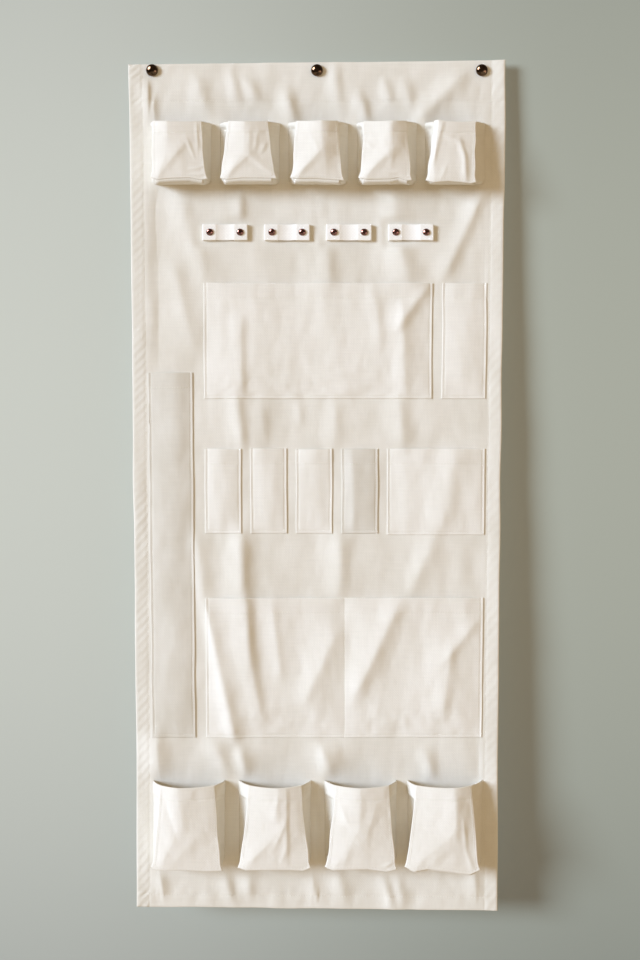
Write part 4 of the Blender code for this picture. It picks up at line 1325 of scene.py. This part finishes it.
    def gusset(self):
        """The strip from the panel to the front. From rear to front edge it is straight, less a sag
        that is deepest a quarter of the way out at the left and halfway at the right. Its base rolls
        down and forwards as a rounded corner below the front's foot, and its hemmed top turns outwards."""
        settings = self.settings
        rear, front, out, run = self.stations()
        width = float(np.linalg.norm(front - rear, axis=1).max())
        even = marks(0.0, width, GUSSET_STEP, rim=GUSSET_RIM) / width
        roll = BELLY_TURN + (1.0 - BELLY_TURN) * np.sin(np.linspace(0.0, math.pi / 2.0, 9))[:-1]
        w = np.concatenate([even[even < BELLY_TURN - 0.02], roll, LAST_SHARES])[:, None]
        top_gap = self.top - rear[:, 2]
        at_side = np.abs(out[:, 0])
        drawn_left = settings.left_sag * self.tucked * np.sin(np.pi * w**0.55)
        drawn_right = settings.right_sag * 4.0 * w * (1.0 - w)
        below_hem = smooth((top_gap - self.flap) / (6.0 * MM))
        above_foot = smooth((rear[:, 2] - self.foot - 2.0 * MM) / (12.0 * MM))
        drawn = at_side * (0.1 + 0.9 * below_hem * above_foot)
        drawn = drawn * np.where(out[:, 0] < 0.0, drawn_left, drawn_right)
        turned_down = np.clip((w - BELLY_TURN) / (1.0 - BELLY_TURN), 0.0, 1.0)
        belly = smooth(w / BELLY_TURN) * (1.0 - turned_down**3) ** (1.0 / 3.0)
        bulge = self.bulge * (1.0 - at_side)
        curl = settings.curl * smooth(1.25 - top_gap / settings.hem) * at_side
        crinkle = layered(run, w * width, 12.0, 19.0, self.seed + 6) * np.sin(np.pi * w)
        relief = curl * (4.0 * w * (1.0 - w)) ** 0.7 - drawn
        relief = relief + settings.belly * belly * bulge + settings.crinkle * crinkle
        points = rear + (front - rear) * w[..., None] + out * relief[..., None]
        points[..., 1] -= settings.nose * smooth((w - 0.5) / 0.3) * smooth(belly / 0.3) * bulge
        hemmed = smooth((settings.hem - top_gap) / SEAM_STEP) * at_side
        thick = self.cloth.canvas * (1.0 + 0.9 * hemmed) + 0.0 * w
        grid_run = run + 0.0 * w
        grid_width = w * width + 0.0 * run
        half = rim_half(grid_width, grid_run, thick)
        flat = np.stack([grid_width + 0.37 * self.number, grid_run + 1.3], axis=-1)
        return points, half, flat, (width, float(run[-1]))


def build_bellows(kind):
    """Builds one row of bellows pockets: fronts that ride on their own body, and gussets baked in place."""
    settings = bpy.context.scene.organizer_bellows
    cloth = bpy.context.scene.organizer_cloth
    for number in range(1, len(BELLOWS_ROWS[kind][0]) + 1):
        pocket = Bellows(kind, number, cloth, settings)
        name = f"{kind}_bellows_{number}"
        middle = pocket.front_middle
        thickness = pocket.front_thickness
        tall = pocket.height
        hem_line = tall - settings.hem + FRONT_HEM_RISE
        side = pocket.wide - FRONT_RIM
        hem_side = pocket.wide - FRONT_END
        end = tall - FRONT_END
        u = marks(-pocket.wide, pocket.wide, settings.grid_step, [-side, side])
        v = marks(0.0, tall, settings.grid_step, [FRONT_RIM, hem_line])
        v = hem_marks(v, tall, settings.hem, cloth.canvas)
        over = folded_over(middle, tall, cloth.canvas)
        # The fronts take the paler copy of the canvas, as painted light.
        duck = material_named("pale_cotton_duck")
        front = make_sheet(f"{name}_front", u, v, over, thickness, pocket.seed, duck)
        lines = [((-hem_side, hem_line), (hem_side, hem_line)), ((-side, end), (-side, FRONT_RIM))]
        lines += [((-side, FRONT_RIM), (side, FRONT_RIM)), ((side, FRONT_RIM), (side, end))]
        thread = make_stitches(f"{name}_stitches", stitch_runs(middle, thickness, lines))
        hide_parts(f"{kind}_pocket_front_{number}")
        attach(front, pocket.body)
        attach(thread, pocket.body)
        points, half, flat, cut = pocket.gusset()
        gusset = cloth_shell(f"{name}_gusset", points, half, flat, material_named("cotton_duck"))
        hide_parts(f"{kind}_pocket_gusset_{number}")
        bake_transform(gusset)
        cut = (cut[0], cut[1] + 2.0 * settings.hem)


class ORGANIZER_OT_small_bellows(Operator):
    """Builds the five small bellows pockets"""

    bl_idname = "organizer.small_bellows"
    bl_label = "Small bellows pockets"

    def execute(self, context):
        build_bellows("small")
        return {"FINISHED"}


class ORGANIZER_OT_large_bellows(Operator):
    """Builds the four large bellows pockets"""

    bl_idname = "organizer.large_bellows"
    bl_label = "Large bellows pockets"

    def execute(self, context):
        build_bellows("large")
        return {"FINISHED"}


# Straps

# How far a strap dips towards the panel between its ends
STRAP_DIP = 1.6 * MM
STRAP_COUNT = 4


def strap_path(left, right, front, cloth_front, settings):
    """The webbing's line seen from above, as (x, distance from the wall): it lies in layers at each
    end, turns round at each fold, and runs across between the two stacks of layers."""
    layers = settings.strap_layers
    pitch = settings.strap_press * (front - cloth_front) / layers
    level = cloth_front + pitch * (np.arange(layers) + 0.5)
    turn = pitch / 2.0
    angle = np.linspace(-math.pi / 2.0, math.pi / 2.0, 9)[1:-1]

    def stack(outer, inner, sign):
        """Layers from the panel outwards at one end. sign is 1 where the outer end is at the right."""
        points = []
        for layer in range(layers):
            goes_out = (layers - 1 - layer) % 2 == 1
            at_outer = outer - sign * turn
            first = inner + sign * turn if layer > 0 else inner
            last = inner + sign * turn if layer < layers - 1 else inner
            start, end = (first, at_outer) if goes_out else (at_outer, last)
            run = np.linspace(start, end, 12)
            points.append(np.stack([run, 0.0 * run + level[layer]], axis=-1))
            if layer < layers - 1:
                side = sign if goes_out else -sign
                between = (level[layer] + level[layer + 1]) / 2.0
                bow = [end + side * turn * np.cos(angle), between + turn * np.sin(angle)]
                points.append(np.stack(bow, axis=-1))
        return np.concatenate(points)

    inner_left = left + settings.strap_fold
    inner_right = right - settings.strap_fold
    run = np.linspace(inner_left, inner_right, 40)[1:-1]
    share = (run - inner_left) / (inner_right - inner_left)
    middle = np.stack([run, level[-1] - STRAP_DIP * np.sin(np.pi * share) ** 0.8], axis=-1)
    ends = stack(left, inner_left, -1.0), stack(right, inner_right, 1.0)
    return np.concatenate([ends[0], middle, ends[1][::-1]])


def swept_webbing(name, path, low, high, thickness, seed, material):
    """Webbing carried along a path: a flat oval section, `high - low` tall, square to the path."""
    tangent = unit(np.gradient(path, axis=0))
    angle = np.linspace(0.0, math.tau, 25)[:-1]
    flatten = np.sign(np.cos(angle)) * np.abs(np.cos(angle)) ** 0.25
    bulge = np.sign(np.sin(angle)) * np.abs(np.sin(angle)) ** 0.55
    wave = 0.25 * MM * noise(path[:, 0] / (9.0 * MM), path[:, 1] / (9.0 * MM), seed)
    z = (low + high) / 2.0 + (high - low) / 2.0 * flatten + wave[:, None]
    off = 0.5 * thickness * bulge
    x = path[:, :1] + tangent[:, 1:] * off
    y = tangent[:, :1] * off - path[:, 1:]
    points = np.stack([x, y, z], axis=-1)
    rings, sides = x.shape
    index = looped(rings, sides)
    centres = np.stack([points[0].mean(axis=0), points[-1].mean(axis=0)])
    first = np.stack([np.full(sides, rings * sides), index[0, 1:], index[0, :-1]], axis=-1)
    last = np.stack([np.full(sides, rings * sides + 1), index[-1, :-1], index[-1, 1:]], axis=-1)
    run = run_along(path)
    place = np.stack([run[:, None] + 0.0 * z, z], axis=-1).reshape(-1, 2)
    place = np.concatenate([place, place[:1], place[-1:]]) + 0.21 * seed
    faces = quads(index).tolist() + first.tolist() + last.tolist()
    points = np.concatenate([points.reshape(-1, 3), centres])
    return new_object(name, points, faces, material, place), float(run[-1])


class ORGANIZER_OT_straps(Operator):
    """Builds the four tool straps of folded cotton webbing"""

    bl_idname = "organizer.straps"
    bl_label = "Tool straps"

    def execute(self, context):
        settings = context.scene.organizer_fittings
        webbing = material_named("bleached_webbing")
        for number in range(1, STRAP_COUNT + 1):
            low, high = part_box(f"tool_strap_{number}")
            path = strap_path(low.x, high.x, -low.y, -high.y, settings)
            name = f"tool_strap_{number}_webbing"
            strap, cut = swept_webbing(name, path, low.z, high.z, settings.webbing, number, webbing)
            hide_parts(f"tool_strap_{number}")
            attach(strap, MAIN_BODY)
        return {"FINISHED"}


# Turned metal

# Edges sharper than this stay sharp, and over this depth a tilt fades towards a piece's rear
SHARP_EDGE = math.radians(38.0)
TILT_DEPTH = 4.0 * MM

# A set rivet: the height and rim of its cap, how far it bites into the webbing, and its shank's radius
CAP_HEIGHT = 2.7 * MM
CAP_RIM = 0.7 * MM
CAP_BITE = 0.1 * MM
RIVET_SHANK = 1.6 * MM

# A nail: the height and rim of its head, and its shank's radius
NAIL_HEAD = 4.8 * MM
NAIL_RIM = 0.8 * MM
NAIL_SHANK = 1.5 * MM

# An eyelet: the radii of its bore and barrel, the height of its flange, and its rear roll's width
EYELET_BORE = 2.2 * MM
EYELET_BARREL = 2.8 * MM
EYELET_FLANGE = 0.7 * MM
EYELET_ROLL = 1.1 * MM

# A washer: the radius of its bore, and its blunted edge
WASHER_BORE = 3.1 * MM
WASHER_EDGE = 0.12 * MM


def turned(name, like, profile, material, tilt=(0.0, 0.0), closed=False):
    """A piece turned about the line that leaves the wall through the middle of the node `like`.
    `profile` is rows of (radius, distance from the wall); tilt is (about x, about z), around the
    profile's seat. Points on the axis are merged, and every face is turned outwards."""
    low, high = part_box(like)
    sides = bpy.context.scene.organizer_fittings.sides
    radius, away = np.array(profile).T[..., None]
    angle = np.arange(sides) / sides * math.tau
    x = radius * np.cos(angle)
    z = radius * np.sin(angle)
    slope = x * math.tan(tilt[1]) + z * math.tan(tilt[0])
    y = slope * near(away.max() - away, TILT_DEPTH) - away
    points = np.stack([x + (low.x + high.x) / 2.0, y, z + (low.z + high.z) / 2.0], axis=-1)
    index = looped(len(profile), sides)
    if closed:
        index = np.concatenate([index, index[:1]], axis=0)
    item = new_object(name, points.reshape(-1, 3), quads(index).tolist(), material_named(material))
    work = bmesh.new()
    work.from_mesh(item.data)
    bmesh.ops.remove_doubles(work, verts=work.verts, dist=1e-6)
    bmesh.ops.dissolve_degenerate(work, edges=work.edges, dist=1e-7)
    bmesh.ops.recalc_face_normals(work, faces=work.faces)
    work.to_mesh(item.data)
    work.free()
    item.data.set_sharp_from_angle(angle=SHARP_EDGE)
    return item


def rounded_dome(radius, height, foot, rim, steps=18):
    """Profile of a dome: an ellipse from its crown to a rim that curls under over a small radius."""
    angle = np.linspace(0.0, math.pi / 2.0, steps)
    edge = radius - 0.3 * rim
    crown = np.stack([edge * np.sin(angle), foot + rim + (height - rim) * np.cos(angle)], axis=-1)
    under = np.linspace(0.0, math.pi / 2.0, 6)[1:]
    curled = edge - rim * (0.5 * (1.0 - np.cos(under)) - 0.3 * np.sin(2.0 * under))
    curl = np.stack([curled, foot + rim * (1.0 - np.sin(under))], axis=-1)
    return np.concatenate([crown, curl]).tolist()


class ORGANIZER_OT_rivets(Operator):
    """Builds the eight copper rivets that hold the straps"""

    bl_idname = "organizer.rivets"
    bl_label = "Copper rivets"

    def execute(self, context):
        settings = context.scene.organizer_fittings
        random = np.random.default_rng(71)
        for number in range(1, STRAP_COUNT + 1):
            strap_low, strap_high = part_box(f"tool_strap_{number}")
            seat = settings.strap_press * (strap_high.y - strap_low.y) - strap_high.y - CAP_BITE
            for side in ("left", "right"):
                name = f"strap_rivet_{number}_{side}"
                low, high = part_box(name)
                radius = (high.z - low.z) / 2.0
                back = -high.y
                washer = back + 0.8 * MM
                profile = rounded_dome(radius, CAP_HEIGHT, seat, CAP_RIM)
                profile += [(RIVET_SHANK, seat), (RIVET_SHANK, washer), (0.96 * radius, washer)]
                profile += [(radius, back + 0.5 * MM), (0.93 * radius, back + 0.12 * MM)]
                profile += [(0.82 * radius, back), (0.4 * radius, back + 0.05 * MM), (0.0, back + 0.06 * MM)]
                tilt = random.uniform(-1.0, 1.0, 2) * settings.rivet_tilt
                rivet = turned(f"{name}_copper", name, profile, "handled_copper", tilt)
                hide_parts(name)
                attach(rivet, MAIN_BODY)
        return {"FINISHED"}


class ORGANIZER_OT_hanging_points(Operator):
    """Builds the three dome-headed nails, their eyelets and the washers behind"""

    bl_idname = "organizer.hanging_points"
    bl_label = "Hanging points"

    def execute(self, context):
        random = np.random.default_rng(83)
        for side in NAIL_SIDES:
            tilt = random.uniform(-1.0, 1.0, 2) * context.scene.organizer_fittings.nail_tilt
            self.nail(side, tilt)
            self.eyelet(side)
            self.washer(side)
        return {"FINISHED"}

    def nail(self, side, tilt):
        """A domed head, hollow behind, on a shank that ends in a point."""
        low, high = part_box(f"hanging_nail_{side}")
        radius = (high.z - low.z) / 2.0
        foot = -low.y - NAIL_HEAD
        tip = -high.y
        hollow = foot + 0.9 * MM
        profile = rounded_dome(radius, NAIL_HEAD, foot, NAIL_RIM, 24)
        profile += [(0.86 * radius, foot + 0.5 * MM), (0.5 * radius, hollow), (NAIL_SHANK, hollow)]
        profile += [(NAIL_SHANK, tip + 4.0 * MM), (0.6 * NAIL_SHANK, tip + 2.0 * MM), (0.0, tip)]
        piece = turned(f"nail_{side}_brass", f"hanging_nail_{side}", profile, "darkened_brass", tilt)
        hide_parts(f"hanging_nail_{side}")
        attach(piece, MAIN_BODY)

    def eyelet(self, side):
        """A flange that rolls over as a half circle, a barrel, and a small roll at the rear."""
        low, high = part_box(f"eyelet_{side}")
        radius = (high.z - low.z) / 2.0
        under = -low.y - EYELET_FLANGE
        rear = -high.y
        roll = np.linspace(0.0, math.pi, 9)
        width = (radius - EYELET_BORE) / 2.0
        flange = [EYELET_BORE + width * (1.0 - np.cos(roll)), under + EYELET_FLANGE * np.sin(roll)]
        outer = EYELET_BARREL + EYELET_ROLL
        profile = np.stack(flange, axis=-1).tolist()
        profile += [(EYELET_BARREL, under), (EYELET_BARREL, rear + 0.4 * MM), (outer, rear + 0.4 * MM)]
        profile += [(outer, rear + 0.1 * MM), (EYELET_BARREL + 0.6 * MM, rear), (EYELET_BORE, rear)]
        piece = turned(f"eyelet_{side}_brass", f"eyelet_{side}", profile, "drawn_brass", closed=True)
        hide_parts(f"eyelet_{side}")
        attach(piece, MAIN_BODY)

    def washer(self, side):
        """A flat ring with blunted edges."""
        low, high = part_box(f"eyelet_washer_{side}")
        radius = (high.z - low.z) / 2.0
        front = -low.y
        rear = -high.y
        bore = WASHER_BORE
        edge = WASHER_EDGE
        profile = [(bore, front), (radius - edge, front), (radius, front - edge), (radius, rear + edge)]
        profile += [(radius - edge, rear), (bore + edge, rear), (bore, rear + edge)]
        piece = turned(f"washer_{side}_brass", f"eyelet_washer_{side}", profile, "drawn_brass", closed=True)
        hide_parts(f"eyelet_washer_{side}")
        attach(piece, MAIN_BODY)


# Stage

# Painted light on the backdrop: a glow added to its paint as painted cool light from the far side of the
# room; the height where its painted light is brightest, how fast the painted falloff darkens it above and
# below, and the least that is left of it
WALL_PAINTED_GLOW = (0.0, 0.016, 0.04)
WALL_BRIGHTEST = -0.38
WALL_DIMMING = 0.5
WALL_LEAST = 0.6

# From the middle of the picture to where the backdrop's two tints are plain: the far tint is the same paint
# darkened as painted shade, the lamp's falloff painted in
TINT_REACH = 0.4

# From the wall to the front of the panel, which the photograph's scale holds for
FRONT_PLANE = 3.0 * MM

# The mirrored room, and its patches: the way to each centre, the cosines at which it is full and
# gone, and its light
ROOM_COLOUR = (0.13, 0.11, 0.10)
ROOM_PATCHES = (
    ((-0.66, -0.58, 0.48), 0.985, 0.950, (19.0, 21.0, 26.0)),
    ((0.60, -0.70, -0.38), 0.97, 0.84, (2.6, 2.3, 2.4)),
)


def one_sided(name, near_colour, far_colour, glow=None):
    """Matt paint that shows from its front alone, to the eye and in reflections, and lets every
    other ray through, so that the back of the panel is lit and can be seen."""
    material = bpy.data.materials.new(name)
    tree = empty_tree(material)
    place = node(tree, "SeparateXYZ", {"Vector": node(tree, "TexCoord").outputs["Object"]})
    # On the backdrop the far tint is painted shade: the paint darkens away from the lamp as painted falloff.
    # The floor takes one tint twice.
    reach = {"Value": place, "From Min": -TINT_REACH, "From Max": TINT_REACH}
    share = node(tree, "MapRange", reach, interpolation_type="SMOOTHSTEP")
    tints = {"Factor": share, 6: rgba(near_colour), 7: rgba(far_colour)}
    tint = node(tree, "Mix", tints, data_type="RGBA").outputs[2]
    paint = node(tree, "BsdfDiffuse", {"Color": tint})
    if glow is not None:
        # Painted light: the backdrop's paint darkens above and below its brightest height, and a glow is
        # added to it, both painted into its colour, not given by the lamps.
        away = node(tree, "Math", {0: place.outputs[2], 1: -WALL_BRIGHTEST}, operation="ADD")
        square = node(tree, "Math", {0: away, 1: away}, operation="MULTIPLY")
        painted_falloff = node(tree, "Math", {0: square, 1: -WALL_DIMMING, 2: 1.0}, operation="MULTIPLY_ADD")
        least = node(tree, "Math", {0: painted_falloff, 1: WALL_LEAST}, operation="MAXIMUM")
        painted_falloff_tint = node(tree, "VectorMath", {0: tint, 3: least}, operation="SCALE")
        tree.links.new(painted_falloff_tint.outputs[0], paint.inputs["Color"])
        painted_glow = node(tree, "Emission", {"Color": rgba(glow)})
        paint = node(tree, "AddShader", {0: paint, 1: painted_glow})
    path = node(tree, "LightPath").outputs
    seen = node(tree, "Math", {0: path["Is Camera Ray"], 1: path["Is Glossy Ray"]}, operation="MAXIMUM")
    facing = node(tree, "NewGeometry").outputs["Backfacing"]
    front = node(tree, "Math", {0: 1.0, 1: facing}, operation="SUBTRACT")
    shown = node(tree, "Math", {0: seen, 1: front}, operation="MULTIPLY")
    mix = node(tree, "MixShader", {0: shown, 1: node(tree, "BsdfTransparent"), 2: paint})
    node(tree, "OutputMaterial", {0: mix})
    return material


def sun(name, azimuth, elevation, strength, size, tint):
    """A lamp of parallel light. Azimuth 0 comes from -Y and 90 from -X; elevation is above the horizon.
    Metal doesn't mirror it: the room has its own window for that."""
    data = bpy.data.lights.new(name, "SUN")
    data.energy = strength
    data.angle = size
    data.color = tint
    lamp = add_object(name, data)
    lamp.rotation_euler = (math.pi / 2.0 - elevation, 0.0, -azimuth)
    lamp.visible_glossy = False


def stage_sheet(name, near_edge, far_edge, reach, material):
    """A level-sided sheet of the stage between two edges, each given as its depth and height."""
    near_left, near_right = ((side * reach, *near_edge) for side in (-1.0, 1.0))
    far_left, far_right = ((side * reach, *far_edge) for side in (-1.0, 1.0))
    corners = np.array([near_left, near_right, far_right, far_left])
    item = new_object(name, corners, [(0, 1, 2, 3)], material)


class ORGANIZER_OT_stage(Operator):
    """Builds the backdrop, the floor, the lamps and the camera"""

    bl_idname = "organizer.stage"
    bl_label = "Stage"

    def execute(self, context):
        stage = context.scene.organizer_stage
        self.room(stage)
        self.light(context.scene, stage)
        self.camera(context.scene, stage)
        return {"FINISHED"}

    def room(self, stage):
        """A wall that leans back above the nails, and a level floor in front of it."""
        foot = PANEL_LOW.z - stage.floor_drop
        top = foot + stage.reach
        lean = math.tan(stage.wall_lean)
        wall_foot = (stage.wall_gap - foot * lean, foot)
        wall_top = (stage.wall_gap - top * lean, top)
        paint = one_sided("wall_paint", stage.wall_colour, stage.wall_painted_falloff_colour, WALL_PAINTED_GLOW)
        boards = one_sided("pale_floor", stage.floor_colour, stage.floor_colour)
        stage_sheet("backdrop", wall_foot, wall_top, stage.reach / 2.0, paint)
        stage_sheet("floor", (wall_foot[0] - stage.reach, foot), wall_foot, stage.reach / 2.0, boards)

    def light(self, scene, stage):
        """Two lamps, and a world that lights, shows and mirrors three different things."""
        azimuth = math.pi / 2.0 - stage.key_grazing
        sun("window", azimuth, stage.key_rise, stage.key_strength, stage.key_size, stage.key_colour)
        rear_tint = stage.rear_colour
        sun("rear_fill", stage.rear_way, stage.rear_rise, stage.rear_strength, stage.rear_size, rear_tint)
        world = bpy.data.worlds.new("studio")
        scene.world = world
        tree = empty_tree(world)
        path = node(tree, "LightPath").outputs
        clear_rays = {0: path["Is Camera Ray"], 1: path["Is Transmission Ray"]}
        seen = node(tree, "Math", clear_rays, operation="MAXIMUM")
        fill_light = {"Color": rgba(stage.fill_colour), "Strength": stage.fill_strength}
        fill = node(tree, "Background", fill_light)
        pale = node(tree, "Background", {"Color": rgba(stage.floor_colour)})
        room = node(tree, "Background", {"Color": self.mirrored_room(tree)})
        reflected = node(tree, "MixShader", {0: path["Is Glossy Ray"], 1: fill, 2: room})
        mix = node(tree, "MixShader", {0: seen, 1: reflected, 2: pale})
        node(tree, "OutputWorld", {0: mix})

    def mirrored_room(self, tree):
        """What polished metal mirrors: a dim room, a bright window up at the left, and a warm glow
        low at the right. Each patch is a share of the cosine between the ray and the patch's centre."""
        way = node(tree, "TexCoord").outputs["Generated"]
        total = ROOM_COLOUR
        for centre, narrow, wide, tint in ROOM_PATCHES:
            cosine = node(tree, "VectorMath", {0: way, 1: centre}, operation="DOT_PRODUCT").outputs["Value"]
            limits = {"Value": cosine, "From Min": wide, "From Max": narrow}
            patch = node(tree, "MapRange", limits, interpolation_type="SMOOTHSTEP")
            light = node(tree, "VectorMath", {0: tint, 3: patch}, operation="SCALE")
            total = node(tree, "VectorMath", {0: total, 1: light}, operation="ADD")
        return total

    def camera(self, scene, stage):
        """The camera looks straight at the wall, where one pixel is the photograph's at the panel."""
        data = bpy.data.cameras.new("camera")
        data.lens = stage.focal_length
        data.sensor_width = stage.sensor
        data.clip_start = 0.01
        data.clip_end = 100.0
        camera = add_object("camera", data)
        away = PHOTO_HEIGHT * PIXEL * stage.focal_length / stage.sensor
        x, z = from_photo(*PHOTO_CENTRE)
        camera.location = (x, -away - FRONT_PLANE, z)
        camera.rotation_euler = (math.pi / 2.0, 0.0, 0.0)
        scene.camera = camera
        scene.view_settings.view_transform = "Standard"


# Add-on

GROUPS = (
    ("organizer_cloth", OrganizerCloth),
    ("organizer_pockets", OrganizerPockets),
    ("organizer_bellows", OrganizerBellows),
    ("organizer_fittings", OrganizerFittings),
    ("organizer_stage", OrganizerStage),
)
OPERATORS = (
    ORGANIZER_OT_panel,
    ORGANIZER_OT_flat_pockets,
    ORGANIZER_OT_small_bellows,
    ORGANIZER_OT_large_bellows,
    ORGANIZER_OT_straps,
    ORGANIZER_OT_rivets,
    ORGANIZER_OT_hanging_points,
    ORGANIZER_OT_stage,
)


class ORGANIZER_PT_sidebar(Panel):
    """Lists the organizer's sizes and the steps that build it"""

    bl_idname = "ORGANIZER_PT_sidebar"
    bl_label = "Hanging wall organizer"
    bl_space_type = "VIEW_3D"
    bl_region_type = "UI"
    bl_category = "Organizer"

    def draw(self, context):
        for operator in OPERATORS:
            self.layout.operator(operator.bl_idname)
        for name, group in GROUPS:
            box = self.layout.box()
            box.label(text=group.__doc__)
            for key in group.__annotations__:
                box.prop(getattr(context.scene, name), key)


def register():
    for name, group in GROUPS:
        bpy.utils.register_class(group)
        setattr(bpy.types.Scene, name, PointerProperty(type=group))
    for operator in OPERATORS:
        bpy.utils.register_class(operator)
    bpy.utils.register_class(ORGANIZER_PT_sidebar)


def unregister():
    bpy.utils.unregister_class(ORGANIZER_PT_sidebar)
    for operator in reversed(OPERATORS):
        bpy.utils.unregister_class(operator)
    for name, group in reversed(GROUPS):
        delattr(bpy.types.Scene, name)
        bpy.utils.unregister_class(group)


def main():
    register()
    bpy.ops.organizer.panel()
    bpy.ops.organizer.flat_pockets()
    bpy.ops.organizer.small_bellows()
    bpy.ops.organizer.large_bellows()
    bpy.ops.organizer.straps()
    bpy.ops.organizer.rivets()
    bpy.ops.organizer.hanging_points()
    bpy.ops.organizer.stage()


if __name__ == "__main__":
    main()
